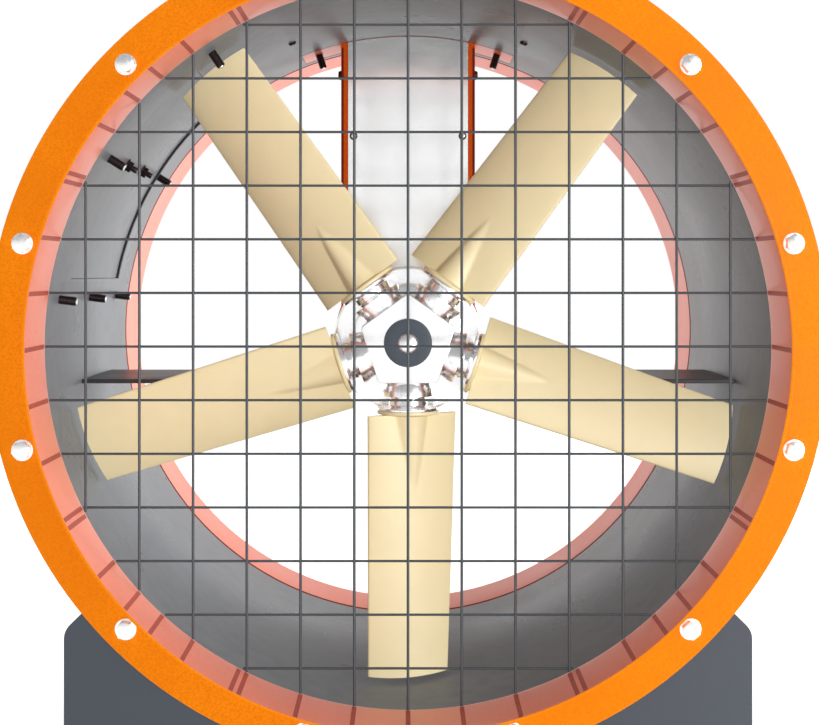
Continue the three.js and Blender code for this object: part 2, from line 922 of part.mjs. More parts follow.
// Joins rings of equal point count into one closed skin, with caps of strips across the two end rings
function loft(rings, closed) {
  const count = rings[0].length;
  const positions = rings.flat().flatMap((point) => [point.x, point.y, point.z]);
  const index = [];
  const bands = closed ? rings.length : rings.length - 1;
  for (let band = 0; band < bands; band += 1) {
    for (let side = 0; side < count; side += 1) {
      const here = band * count;
      const next = ((band + 1) % rings.length) * count;
      const after = (side + 1) % count;
      index.push(here + side, here + after, next + after);
      index.push(here + side, next + after, next + side);
    }
  }
  if (!closed) {
    const last = (rings.length - 1) * count;
    for (let side = 0; side < count / 2 - 1; side += 1) {
      const far = count - 1 - side;
      index.push(far, side + 1, side, far, far - 1, side + 1);
      index.push(last + side, last + side + 1, last + far);
      index.push(last + side + 1, last + far - 1, last + far);
    }
  }
  const geometry = new THREE.BufferGeometry();
  geometry.setAttribute("position", new THREE.Float32BufferAttribute(positions, 3));
  geometry.setIndex(index);
  return solid(geometry);
}

// A cone from the disc to the middle of the blade's curved section, where it runs out into both faces
function bladeRib() {
  const start = bladeStart + bladeDiscThickness / 2;
  const ring = bladeSection((bladeRibEnd - start) / (bladeTipRadius - start));
  const half = bladeChordSteps / 2;
  const middle = ring[half].clone().lerp(ring[ring.length - 1 - half], 0.5);
  const outline = [[0, start], [bladeRibRadius, start], [bladeRibTip, bladeRibEnd], [0, bladeRibEnd]];
  return standing(outline, bladeFootSegments).warp((vertex) => {
    const share = (vertex[2] - start) / (bladeRibEnd - start);
    vertex[0] += share * middle.x;
    vertex[1] += share * middle.y;
  });
}

function blade() {
  const last = bladeSections - 1;
  const rings = Array.from({ length: bladeSections }, (_, index) => bladeSection(index / last));
  const disc = standing(
    [
      [0, bladeStart],
      [footFlangeRadius, bladeStart],
      [footFlangeRadius, bladeStart + bladeDiscThickness],
      [0, bladeStart + bladeDiscThickness],
    ],
    bladeFootSegments,
  );
  return join(loft(rings, false), disc, bladeRib());
}

function impeller() {
  const group = new THREE.Group();
  group.add(
    piece("fan_shaft", fanShaft(), "brightSteel"),
    piece("hub_front_half", hubFront(), "polishedAluminium"),
    piece("hub_rear_half", hubBackHalf(), "polishedAluminium"),
    piece("hub_washer", hubWasher(), "darkSteel"),
    piece("hub_bolt", hubBolt(), "zincBolt"),
  );
  const bladeShape = shapeGeometry(blade());
  const footShape = shapeGeometry(bladeFoot());
  bladeAngles().forEach((angle, index) => {
    const arm = new THREE.Group();
    arm.rotation.y = (90 - angle) * degree;
    arm.position.y = hubPlane;
    arm.add(piece(`blade_${index + 1}`, bladeShape, "bladeNylon"));
    arm.add(piece(`blade_foot_${index + 1}`, footShape, "polishedAluminium"));
    group.add(arm);
  });
  return group;
}

// Belt drive

function pulley(diameter, bore) {
  const outer = diameter / 2;
  const groove = outer - grooveDepth;
  const half = pulleyWidth / 2;
  const slope = (beltTopWidth - beltBottomWidth) / 2 / beltHeight;
  const top = beltTopWidth / 2 + 1.5 * fitGap;
  const bottom = top - slope * grooveDepth;
  const outline = [[bore, -half], [outer, -half]];
  for (const middle of [-grooveSpacing / 2, grooveSpacing / 2]) {
    outline.push([outer, middle - top], [groove, middle - bottom]);
    outline.push([groove, middle + bottom], [outer, middle + top]);
  }
  outline.push([outer, half], [bore, half]);
  return turned(outline, pulleySegments);
}

// A belt runs round both pulleys, with its top flush with their rims
function vBelt() {
  const lower = drivenPulleyDiameter / 2;
  const upper = drivePulleyDiameter / 2;
  const lean = Math.asin((lower - upper) / pulleyCentres);
  const places = [];
  for (let step = 0; step <= beltArcSteps; step += 1) {
    const share = step / beltArcSteps;
    places.push({ radius: upper, height: pulleyCentres, angle: lean + share * (Math.PI - 2 * lean) });
  }
  for (let step = 0; step <= beltArcSteps; step += 1) {
    const share = step / beltArcSteps;
    places.push({ radius: lower, height: 0, angle: Math.PI - lean + share * (Math.PI + 2 * lean) });
  }
  const corners = [
    [0, -beltTopWidth / 2],
    [0, beltTopWidth / 2],
    [-beltHeight, beltBottomWidth / 2],
    [-beltHeight, -beltBottomWidth / 2],
  ];
  const rings = places.map(({ radius, height, angle }) =>
    corners.map(([out, y]) => {
      const reach = radius + out;
      return new THREE.Vector3(reach * Math.cos(angle), y, height + reach * Math.sin(angle));
    }),
  );
  return loft(rings, true);
}

// Housing outline: a drum round the driven pulley, straight sides and a round top, drawn in by an inset
function keyhole(inset) {
  const drum = housingDrumRadius - inset;
  const half = housingHalfWidth - inset;
  const meeting = Math.sqrt(drum * drum - half * half);
  const angle = Math.atan2(meeting, half);
  const shape = new THREE.Shape();
  shape.absarc(0, 0, drum, Math.PI - angle, 2 * Math.PI + angle, false);
  shape.absarc(0, pulleyCentres, half, 0, Math.PI, false);
  shape.closePath();
  return shape;
}

const housingFront = beltPlane - housingDepth / 2;
const housingRear = beltPlane + housingDepth / 2;
const panelRear = housingFront - fitGap;
const panelFront = panelRear - panelSheet;

// The front is open inside the casing, where the panel closes it, and has a slot for the motor shaft
function beltHousing() {
  const body = extruded(keyhole(0), housingFront, housingRear, housingArcSteps);
  const inside = [housingFront + housingSheet, housingRear - housingSheet];
  const cavity = extruded(keyhole(housingSheet), ...inside, housingArcSteps);
  const through = [housingFront - overrun, inside[0] + housingSheet / 2];
  const mouth = extruded(keyhole(housingLip), ...through, housingArcSteps);
  const mouthEnd = rod(boreRadius - housingLip, ...through, ringSegments);
  const slotRadius = motorShaftDiameter / 2 + motorSlotClearance;
  const lower = pulleyCentres - tensionDown;
  const upper = pulleyCentres + tensionUp;
  return cut(
    body,
    cavity,
    mouth.intersect(mouthEnd),
    rod(slotRadius, ...through, shaftSegments).translate([0, 0, lower]),
    rod(slotRadius, ...through, shaftSegments).translate([0, 0, upper]),
    block([-slotRadius, slotRadius], through, [lower, upper]),
  );
}

function housingPanel() {
  const blank = extruded(keyhole(panelInset), panelFront, panelRear, housingArcSteps);
  const within = rod(innerFit, panelFront - overrun, panelRear + overrun, ringSegments);
  const shaftHole = rod(panelShaftHole / 2, panelFront - overrun, panelRear + overrun, shaftSegments);
  return cut(blank.intersect(within), shaftHole);
}

function beltDrive() {
  const group = new THREE.Group();
  const fanBore = holeAround(shaftDiameter / 2, pulleySegments);
  const motorBoreFit = holeAround(motorShaftDiameter / 2, pulleySegments);
  const driven = piece("driven_pulley", pulley(drivenPulleyDiameter, fanBore), "castIron");
  const drive = piece("drive_pulley", pulley(drivePulleyDiameter, motorBoreFit), "castIron");
  const belt = shapeGeometry(vBelt());
  const front = piece("v_belt_front", belt, "blackRubber");
  const rear = piece("v_belt_rear", belt, "blackRubber");
  group.add(
    placed(driven, 0, beltPlane, 0),
    placed(drive, 0, beltPlane, pulleyCentres),
    placed(front, 0, beltPlane - grooveSpacing / 2, 0),
    placed(rear, 0, beltPlane + grooveSpacing / 2, 0),
    piece("belt_housing", beltHousing(), "orangePaint"),
    piece("belt_housing_panel", housingPanel(), "panelSheet"),
  );
  return group;
}

// Motor stand: a saddle on the casing, two webs with flanges and four adjusting studs

const studReach = standWebSpacing / 2 + studOffset;
const studPlaces = [-studReach, studReach].flatMap((x) => [
  [x, -studFront],
  [x, studRear],
]);

function motorStand() {
  const halfWeb = standWebSpacing / 2;
  const along = [-standFront, standFlangeRear];
  const flangeBottom = standHeight - standSheet;
  const sides = [-1, 1].flatMap((side) => {
    const web = [side * halfWeb - standSheet / 2, side * halfWeb + standSheet / 2];
    const flangeEdges = [side * halfWeb - standFlangeWidth / 2, side * halfWeb + standFlangeWidth / 2];
    const shifted = flangeEdges.map((x) => x + (side * standFlangeWidth) / 8);
    return [
      block(web, along, [boreRadius / 2, standHeight]),
      block(shifted, along, [flangeBottom, standHeight]),
    ];
  });
  const studs = studPlaces.map(([x, y]) =>
    upright(rod(studSize / 2, 0, studLength + standSheet / 2, handleSegments)).translate([
      x,
      y,
      standHeight - standSheet / 2,
    ]),
  );
  const saddle = sector(standInner, standOuter, -standFront, standRear, 90, standHalfAngle);
  const around = rod(standInner + standSheet / 4, -standFront - overrun, standRear + overrun, ringSegments);
  const supports = cut(join(...sides), around);
  const gap = fitGap;
  const hole = block(
    [-housingHalfWidth - gap, housingHalfWidth + gap],
    [housingFront - gap - standMiddle, housingRear + gap - standMiddle],
    [boreRadius / 2, standHeight],
  );
  return cut(join(saddle, supports, ...studs), hole);
}

// Motor

function motorPlate() {
  const half = studReach + motorPlateSideMargin;
  const along = [-studFront - motorPlateEndMargin, studRear + motorPlateEndMargin];
  const heights = [motorPlateHeight, motorPlateHeight + motorPlateSheet];
  const sheet = block([-half, half], along, heights);
  const holes = studPlaces.map(([x, y]) =>
    upright(rod(motorPlateHole / 2, 0, motorPlateSheet + 2 * overrun, handleSegments)).translate([
      x,
      y,
      motorPlateHeight - overrun,
    ]),
  );
  return cut(sheet, ...holes);
}

// The finned frame, drawn about the motor axis
function motorFrame() {
  const shape = new THREE.Shape();
  const pitch = 360 / motorFinCount;
  const half = (motorFinShare * pitch) / 2;
  for (let index = 0; index < motorFinCount; index += 1) {
    const middle = index * pitch;
    const corners = [
      [motorFrameRadius, middle - half],
      [motorFinRadius, middle - half],
      [motorFinRadius, middle + half],
      [motorFrameRadius, middle + half],
    ];
    corners.forEach(([radius, angle], corner) => {
      const [x, z] = onCircle(radius, angle);
      if (index + corner === 0) shape.moveTo(x, z);
      else shape.lineTo(x, z);
    });
  }
  shape.closePath();
  const ribs = extruded(shape, -motorFront, motorRear, 1);
  const plate = -motorShaftHeight;
  const halfLegs = motorLegSpacing / 2;
  const legTop = motorLegSink - Math.sqrt(motorFrameRadius * motorFrameRadius - halfLegs * halfLegs);
  const feet = [-1, 1].flatMap((side) => {
    const middle = side * halfLegs;
    const leg = [middle - motorLegThickness / 2, middle + motorLegThickness / 2];
    const outer = middle + side * (motorFootWidth - motorLegThickness / 2);
    const foot = [Math.min(middle, outer), Math.max(middle, outer)];
    const along = [-motorFootFront, motorFootRear];
    return [
      block(leg, along, [plate, legTop]),
      block(foot, along, [plate, plate + motorFootHeight]),
    ];
  });
  const padY = [-motorFront / 2 - terminalPadDepth / 4, -motorFront / 2 + (3 * terminalPadDepth) / 4];
  const padX = [-terminalPadWidth / 2, terminalPadWidth / 2];
  const pad = block(padX, padY, [motorFrameRadius / 2 + motorBore / 4, terminalPadTop]);
  const bore = rod(motorBore / 2, -motorFront + motorEndWall, motorRear + overrun, motorSegments);
  const hole = holeAround(motorShaftDiameter / 2, shaftSegments);
  const shaftHole = rod(hole, -motorFront - overrun, motorRear, shaftSegments);
  return cut(join(ribs, ...feet, pad), bore, shaftHole);
}

function driveShield() {
  const hole = holeAround(motorShaftDiameter / 2, motorSegments);
  const start = motorRear + fitGap;
  const end = start + motorShieldDepth;
  return turned(
    [
      [hole, start],
      [motorShieldRadius, start],
      [motorShieldRadius, end],
      [motorShieldBoss, end],
      [motorShieldBoss, end + motorShieldBossDepth],
      [hole, end + motorShieldBossDepth],
    ],
    motorSegments,
  );
}

function fanCowl() {
  const rear = -motorFront - fitGap;
  const front = rear - cowlLength;
  const inner = cowlRadius - cowlSheet;
  const body = turned(
    [
      [0, front],
      [cowlRadius, front],
      [cowlRadius, rear],
      [inner, rear],
      [inner, front + cowlSheet],
      [0, front + cowlSheet],
    ],
    motorSegments,
  );
  const slots = Array.from({ length: cowlSlotCount }, (_, index) =>
    block(
      [-cowlSlotWidth / 2, cowlSlotWidth / 2],
      [front - overrun, front + cowlSheet + overrun],
      [cowlSlotInner, cowlRadius - cowlSlotInset],
    ).rotate([0, (index * 360) / cowlSlotCount, 0]),
  );
  return cut(body, ...slots);
}

function coolingFan() {
  const front = -coolingFanFront;
  const rear = front + coolingFanWidth;
  const hub = rod(coolingFanHub, front, rear, shaftSegments);
  const disc = rod(coolingFanRadius, rear - coolingFanDisc, rear, shaftSegments);
  const vanes = Array.from({ length: coolingFanBlades }, (_, index) =>
    block(
      [-coolingFanSheet / 2, coolingFanSheet / 2],
      [front, rear],
      [coolingFanHub - coolingFanSheet / 3, coolingFanRadius - coolingFanSheet],
    ).rotate([0, (index * 360) / coolingFanBlades, 0]),
  );
  return join(hub, disc, ...vanes);
}

// The shaft with its core and the cooling fan
function motorRotor() {
  const middle = (motorRear + motorEndWall - motorFront) / 2;
  const shaft = motorShaftDiameter / 2;
  const core = rotorCoreDiameter / 2;
  const body = turned(
    [
      [0, -motorShaftFront],
      [shaft, -motorShaftFront],
      [shaft, middle - rotorCoreLength / 2],
      [core, middle - rotorCoreLength / 2],
      [core, middle + rotorCoreLength / 2],
      [shaft, middle + rotorCoreLength / 2],
      [shaft, motorShaftRear],
      [0, motorShaftRear],
    ],
    shaftSegments,
  );
  return join(body, coolingFan());
}

function terminalBox() {
  const half = terminalBoxWidth / 2;
  const middle = -motorFront / 2 + terminalPadDepth / 4;
  const depth = terminalBoxDepth / 2;
  const low = terminalPadTop + fitGap;
  const shell = (inset, bottom, top) =>
    block([-half + inset, half - inset], [middle - depth + inset, middle + depth - inset], [bottom, top]);
  const top = low + terminalBoxHeight;
  return cut(shell(0, low, top), shell(terminalBoxSheet, low - overrun, top - terminalBoxSheet));
}

function motor() {
  const group = new THREE.Group();
  group.position.y = standMiddle;
  const onAxis = new THREE.Group();
  onAxis.position.z = pulleyCentres;
  onAxis.add(
    piece("motor_frame", motorFrame(), "motorPaint"),
    piece("motor_drive_shield", driveShield(), "motorPaint"),
    piece("motor_fan_cowl", fanCowl(), "motorPaint"),
    piece("motor_rotor", motorRotor(), "brightSteel"),
    piece("terminal_box", terminalBox(), "motorPaint"),
  );
  group.add(
    piece("motor_stand", motorStand(), "orangePaint"),
    piece("motor_plate", motorPlate(), "slatePaint"),
    onAxis,
  );
  return group;
}

const fan = new THREE.Group();
fan.position.z = axisHeight;
fan.add(casing(), guard(), base(), access(), bearings(), impeller(), beltDrive(), motor());

export default fan;
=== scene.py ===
import json
import math
from collections import namedtuple

import bmesh
import bpy
from mathutils import Matrix, Vector

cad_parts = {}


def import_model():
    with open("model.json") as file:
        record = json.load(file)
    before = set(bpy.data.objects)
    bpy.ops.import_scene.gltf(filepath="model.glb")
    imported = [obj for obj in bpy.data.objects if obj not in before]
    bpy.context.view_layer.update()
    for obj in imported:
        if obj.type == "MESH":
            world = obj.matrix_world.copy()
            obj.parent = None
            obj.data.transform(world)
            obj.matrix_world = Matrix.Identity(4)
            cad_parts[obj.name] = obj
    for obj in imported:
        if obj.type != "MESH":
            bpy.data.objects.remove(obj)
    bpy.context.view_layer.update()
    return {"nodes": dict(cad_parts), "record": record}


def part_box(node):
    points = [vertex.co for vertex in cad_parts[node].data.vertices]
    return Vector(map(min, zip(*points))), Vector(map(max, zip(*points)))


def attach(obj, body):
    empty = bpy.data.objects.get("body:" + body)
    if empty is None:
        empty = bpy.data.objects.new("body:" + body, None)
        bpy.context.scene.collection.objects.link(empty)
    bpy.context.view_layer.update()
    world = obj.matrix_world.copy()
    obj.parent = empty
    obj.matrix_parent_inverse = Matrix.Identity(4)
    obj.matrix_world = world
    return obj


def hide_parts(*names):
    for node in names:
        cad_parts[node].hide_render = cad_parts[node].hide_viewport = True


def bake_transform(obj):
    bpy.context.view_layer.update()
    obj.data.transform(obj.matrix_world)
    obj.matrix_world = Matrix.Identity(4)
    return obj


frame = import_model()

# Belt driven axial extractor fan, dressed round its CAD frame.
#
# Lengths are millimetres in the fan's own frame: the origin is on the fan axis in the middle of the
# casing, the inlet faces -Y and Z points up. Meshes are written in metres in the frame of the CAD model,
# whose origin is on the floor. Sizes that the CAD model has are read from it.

MM = 0.001
TINY = 0.001
X, Y, Z = 0, 1, 2
SIDES = (-1, 1)
UPRIGHT = Matrix.Identity(4)
ALONG_Y = Matrix.Rotation(-math.pi / 2, 4, "X")
TO_FRONT = Matrix.Rotation(math.pi / 2, 4, "X")
UPSIDE_DOWN = Matrix.Rotation(math.pi, 4, "X")

# Places of the joints

JOINTS = {joint["name"]: joint for joint in frame["record"]["behaviour"]["joints"]}
AXIS_HEIGHT = JOINTS["impeller_spin"]["pos_m"][Z] / MM
MOTOR_AXIS = JOINTS["motor_spin"]["pos_m"][Z] / MM - AXIS_HEIGHT
MOTOR_DOWN, MOTOR_UP = [limit / MM for limit in JOINTS["motor_tension"]["range_m"]]
HUB_PLANE = JOINTS["blade_pitch_1"]["pos_m"][Y] / MM
BLADE_AXES = [JOINTS[name]["axis"] for name in sorted(JOINTS) if name.startswith("blade_pitch_")]
BLADE_ANGLES = [math.degrees(math.atan2(axis[Z], axis[X])) for axis in BLADE_AXES]
CAD_FROM_FAN = Matrix.Translation((0, 0, AXIS_HEIGHT * MM)) @ Matrix.Scale(MM, 4)


def span(node, axis):
    """Lowest and highest place of a CAD node along an axis, in the fan's frame."""
    low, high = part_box(node)
    lift = AXIS_HEIGHT if axis == Z else 0
    return low[axis] / MM - lift, high[axis] / MM - lift


def middle_of(node, axis):
    return sum(span(node, axis)) / 2


def half_width(node):
    low, high = span(node, X)
    return (high - low) / 2


# Driving sizes: BORE, OUTSIDE, FLANGE and BOLT_CIRCLE are radii

BORE = 315
WALL = 3
OUTSIDE = BORE + WALL
BOLT_CIRCLE = 345
BOLT_COUNT = 12
SHEET = 4
GAP = 0.3
EASE = 0.7
FINE_BEVEL, BEVEL = 0.5, 0.8
OVERRUN = 5

# Sizes read from the CAD model

FLANGE = half_width("inlet_flange_ring")
INLET_EDGE, INLET_BACK = span("inlet_flange_ring", Y)
OUTLET_BACK, OUTLET_EDGE = span("outlet_flange_ring", Y)
INLET_FACE = INLET_BACK - SHEET
OUTLET_FACE = OUTLET_BACK + SHEET
TUBE_FRONT, TUBE_REAR = span("casing_tube", Y)
CRADLE_FRONT = span("cradle_front", Y)[0]
CRADLE_REAR = span("cradle_rear", Y)[1]
CRADLE_BOTTOM, CRADLE_TOP = span("cradle_front", Z)
HOUSING_FRONT, HOUSING_REAR = span("belt_housing", Y)
PANEL_FRONT, PANEL_REAR = span("belt_housing_panel", Y)
PLATE_BOTTOM = span("bearing_plate", Z)[0]
MOTOR_FRONT, MOTOR_REAR = span("motor_frame", Y)
STAND_FRONT, STAND_REAR = span("motor_stand", Y)

# Access cover, with its opening in the wall

HATCH_ANGLE, HATCH_HALF = 148.6, 20.8
COVER_LAP, BOLT_ROW_TURN = 7.7, 0.5
HATCH_SETBACK, HATCH_LENGTH, SEAL_WIDTH, COVER_GAP = 77.5, 206, 4.5, 0.98
BOLT_ROW_ANGLE = HATCH_ANGLE - BOLT_ROW_TURN
HATCH_FRONT = INLET_FACE + HATCH_SETBACK
HATCH_REAR = HATCH_FRONT + HATCH_LENGTH
PLUG_REAR = HATCH_REAR - SEAL_WIDTH
COVER_HALF = HATCH_HALF + COVER_LAP
COVER_INNER = OUTSIDE + COVER_GAP
COVER_OUTER = COVER_INNER + WALL
THREAD_REACH = 15.5

# Belt housing, with its slot in the wall

SLOT_HALF = 112.6
SLOT_FRONT, SLOT_REAR = 95, 157
BELT_PLANE = 126
HOUSING_HALF = 71
HOUSING_DRUM = 76.5
HOUSING_SHEET = 2

# Motor stand

STUD_HALF, STUD_MARGIN, STUD_PITCH, STUD_RISE = 108, 15, 140, 55
STAND_TOP = span("motor_stand", Z)[1] - STUD_RISE
STUD_FRONT = STAND_FRONT + STUD_MARGIN
STUDS = [(side * STUD_HALF, y) for side in SIDES for y in (STUD_FRONT, STUD_FRONT + STUD_PITCH)]


# Mesh building: every builder adds to a bmesh in millimetres


def mix(first, second, share):
    return first + (second - first) * share


def placed(x=0, y=0, z=0):
    return Matrix.Translation((x, y, z))


def facing(angle):
    """Local Z points away from the fan axis at this angle, counted from +X towards +Z."""
    return Matrix.Rotation(math.radians(90 - angle), 4, "Y")


def inward(angle, y):
    """Local Z runs towards the fan axis from a place in the wall."""
    return placed(0, y, 0) @ facing(angle) @ UPSIDE_DOWN


def on_circle(radius, angle):
    return radius * math.cos(math.radians(angle)), radius * math.sin(math.radians(angle))


def arc(centre, radius, start, end, steps):
    """Points of an arc, with its angles in degrees."""
    places = [on_circle(radius, start + (end - start) * step / steps) for step in range(steps + 1)]
    return [(centre[0] + across, centre[1] + up) for across, up in places]


def mirrored(points):
    """Closes the right half of an outline with its left half."""
    return points + [(-x, z) for x, z in reversed(points)]


def scaled(shares, radius, low, high):
    """An outline from shares of a radius and of the way from low to high."""
    return [(radius * across, mix(low, high, up)) for across, up in shares]


def eased(outline, radius=EASE, steps=2):
    """Rounds the corners of a closed outline, apart from those on the axis."""
    limit_share = 0.45
    points = [Vector(point) for point in outline]
    result = []
    for index, corner in enumerate(points):
        before, after = points[index - 1], points[(index + 1) % len(points)]
        if corner.x < TINY:
            result.append(tuple(corner))
            continue
        limit = min((before - corner).length, (after - corner).length) * limit_share
        reach = min(radius, limit)
        start = corner + (before - corner).normalized() * reach
        end = corner + (after - corner).normalized() * reach
        result += bent(start, corner, end, steps)
    return result


def bent(start, corner, end, steps):
    """Points of a curve from start to end that is drawn towards a corner."""
    shares = [step / steps for step in range(steps + 1)]
    return [tuple(start.lerp(corner, share).lerp(corner.lerp(end, share), share)) for share in shares]


def ring(mesh, points, matrix=UPRIGHT):
    return [mesh.verts.new(matrix @ Vector(point)) for point in points]


def skin(mesh, rings, closed=False):
    """Joins each ring to the next one with faces. A ring may be a single point."""
    following = rings[1:] + rings[:1] if closed else rings[1:]
    for first, second in zip(rings, following):
        count = max(len(first), len(second))
        for step in range(count if count > 1 else 0):
            after = (step + 1) % count
            corners = [first[step % len(first)], first[after % len(first)],
                       second[after % len(second)], second[step % len(second)]]
            mesh.faces.new(list(dict.fromkeys(corners)))


def capped(mesh, rings):
    """Joins the rings and closes both ends."""
    skin(mesh, rings)
    mesh.faces.new(rings[0])
    mesh.faces.new(rings[-1])


def turned(mesh, outline, matrix=ALONG_Y, segments=96):
    """Turns a closed outline of (radius, height) points about the local Z."""
    rings = []
    for radius, height in outline:
        count = segments if radius > TINY else 1
        circle = [on_circle(radius, 360 * step / segments) for step in range(count)]
        rings.append(ring(mesh, [(x, y, height) for x, y in circle], matrix))
    skin(mesh, rings, closed=True)


def rectangle(first, second, low, high):
    """Corners of a block's outline, or of a rod or a tube that is turned."""
    return [(first, low), (second, low), (second, high), (first, high)]


def prism(mesh, points, low, high, matrix=UPRIGHT):
    """Gives an outline of (x, y) points a height between low and high."""
    capped(mesh, [ring(mesh, [(x, y, height) for x, y in points], matrix) for height in (low, high)])


def upright_prism(mesh, points, low, high):
    """Gives an outline of (x, z) points a depth between two places along Y."""
    prism(mesh, [(x, -z) for x, z in points], low, high, ALONG_Y)


def block(mesh, x, y, z, matrix=UPRIGHT):
    """A box between two places along each axis, given in any order."""
    prism(mesh, rectangle(*x, *y), *z, matrix)


def rod(mesh, radius, low, high, matrix=ALONG_Y, segments=32, ease=0.0):
    outline = rectangle(0, radius, low, high)
    turned(mesh, eased(outline, ease) if ease else outline, matrix, segments)


def sector(mesh, inner, outer, low, high, angle, half, steps=24):
    """A stretch of tube about the fan axis, half an angle to each side of its middle."""
    outside = arc((0, 0), outer, angle - half, angle + half, steps)
    inside = arc((0, 0), inner, angle - half, angle + half, steps)
    capped(mesh, [ring(mesh, [(far_x, low, far_z), (far_x, high, far_z), (x, high, z), (x, low, z)])
                  for (far_x, far_z), (x, z) in zip(outside, inside)])


def swept(mesh, path, radius, sides=12, matrix=UPRIGHT):
    """A round bar along a path of points, with its ends closed."""
    points = [Vector(point) for point in path]
    rings = []
    side = (points[1] - points[0]).orthogonal()
    for index, point in enumerate(points):
        ahead = points[min(index + 1, len(points) - 1)] - points[max(index - 1, 0)]
        ahead.normalize()
        side = (side - ahead * side.dot(ahead)).normalized()
        other = ahead.cross(side)
        circle = [on_circle(radius, 360 * step / sides) for step in range(sides)]
        rings.append(ring(mesh, [point + side * across + other * up for across, up in circle], matrix))
    capped(mesh, rings)


# Fasteners

# Each row of sizes is in the order of the fields. A head and a nut are given by their height, a hexagon
# across its flats, and a washer, a bore or a shank by its radius.

Thread = namedtuple("Thread", "radius pitch across head nut bore washer washer_bore washer_height")
THREAD_SIZES = (
    (3, 1.0, 10, 5.0, 5.0, 3.1, 6.4, 3.2, 1.3),
    (4, 1.25, 13, 5.3, 6.4, 4.1, 8.2, 4.2, 1.6),
    (5, 1.5, 16, 6.4, 8.0, 5.1, 10, 5.2, 2.0),
    (6, 1.75, 18, 7.5, 10, 6.2, 12, 6.4, 2.5),
    (5, 1.4, 14.5, 6.4, 8.0, 5.05, 9.4, 5.25, 1.6),
)
M6, M8, M10, M12, FLANGE_THREAD = [Thread(*sizes) for sizes in THREAD_SIZES]
Screw = namedtuple("Screw", "shank sunk head rim shoulder shoulder_height height segments")
SCREW_SIZES = (
    (2.2, 7, 3, 0, 2.4, 1.4, 1.8, 28),
    (2.5, 3, 5, 1.6, 3.8, 3.4, 3.8, 28),
    (1.8, 2, 4, 1, 2.8, 2.6, 3, 24),
    (4, 1, 4, 0.6, 3, 1.8, 2, 24),
)
PANEL_SCREW, HOUSING_SCREW, CASING_SCREW, BOX_SCREW = [Screw(*sizes) for sizes in SCREW_SIZES]
CROWN_SHARE = 0.96
CROWN_SLOPE = math.tan(math.radians(28))
FLANK_SHARE = 0.45
RIDGE_SHARE = 0.12
TIP_SHARE = 2.4
WASHER_EASE = 0.35


def hexagon_part(mesh, across, low, high, matrix, chamfer_low=False, hole=0.0):
    """A hexagon across these flats, with the rounded chamfer of a bolt head or nut on its top."""
    apothem = across / 2
    crown = apothem * CROWN_SHARE
    steps = 48
    columns = []
    for angle in [2 * math.pi * step / steps for step in range(steps)]:
        flat = apothem / math.cos((angle + math.pi / 6) % (math.pi / 3) - math.pi / 6)
        drop = max(0.0, flat - crown) * CROWN_SLOPE
        column = [(crown, low), (flat, low + drop * chamfer_low), (flat, high - drop), (crown, high)]
        if hole:
            column = [(hole, low), *column, (hole, high)]
        columns.append([(radius * math.cos(angle), radius * math.sin(angle), z) for radius, z in column])
    rings = [ring(mesh, points, matrix) for points in zip(*columns)]
    if hole:
        skin(mesh, rings, closed=True)
    else:
        capped(mesh, rings)


def washer(mesh, hole, outer, low, high, matrix):
    turned(mesh, eased(rectangle(hole, outer, low, high), WASHER_EASE), matrix, 40)


def seated(mesh, matrix, thread, seat, nut=False):
    """A washer on its seat, with a bolt head or a nut on it."""
    top = seat + thread.washer_height
    washer(mesh, thread.washer_bore, thread.washer, seat, top, matrix)
    if nut:
        hexagon_part(mesh, thread.across, top, top + thread.nut, matrix, True, thread.bore)
    else:
        hexagon_part(mesh, thread.across, top, top + thread.head, matrix)


def threaded_end(mesh, radius, low, high, matrix, pitch):
    """A rod whose surface carries thread ridges, with a chamfered tip at high."""
    depth = radius * RIDGE_SHARE
    tip = depth * TIP_SHARE
    root = radius - depth
    outline = [(0, low), (root, low)]
    for index in range(max(1, int((high - low - depth) / pitch))):
        start = low + index * pitch
        outline += [(radius, start + pitch * FLANK_SHARE), (root, start + pitch)]
    outline += [(root, high - depth), (radius - tip, high), (0, high)]
    turned(mesh, outline, matrix, 24)


def domed_screw(mesh, matrix, seat, screw):
    """A screw whose head has a straight rim, a shoulder and a flat cone on top."""
    outline = [(0, -screw.sunk), (screw.shank, -screw.sunk), (screw.shank, 0), (screw.head, 0),
               (screw.head, screw.rim), (screw.shoulder, screw.shoulder_height), (0, screw.height)]
    lifted = [(radius, seat + height) for radius, height in dict.fromkeys(outline)]
    turned(mesh, lifted, matrix, screw.segments)


# Materials


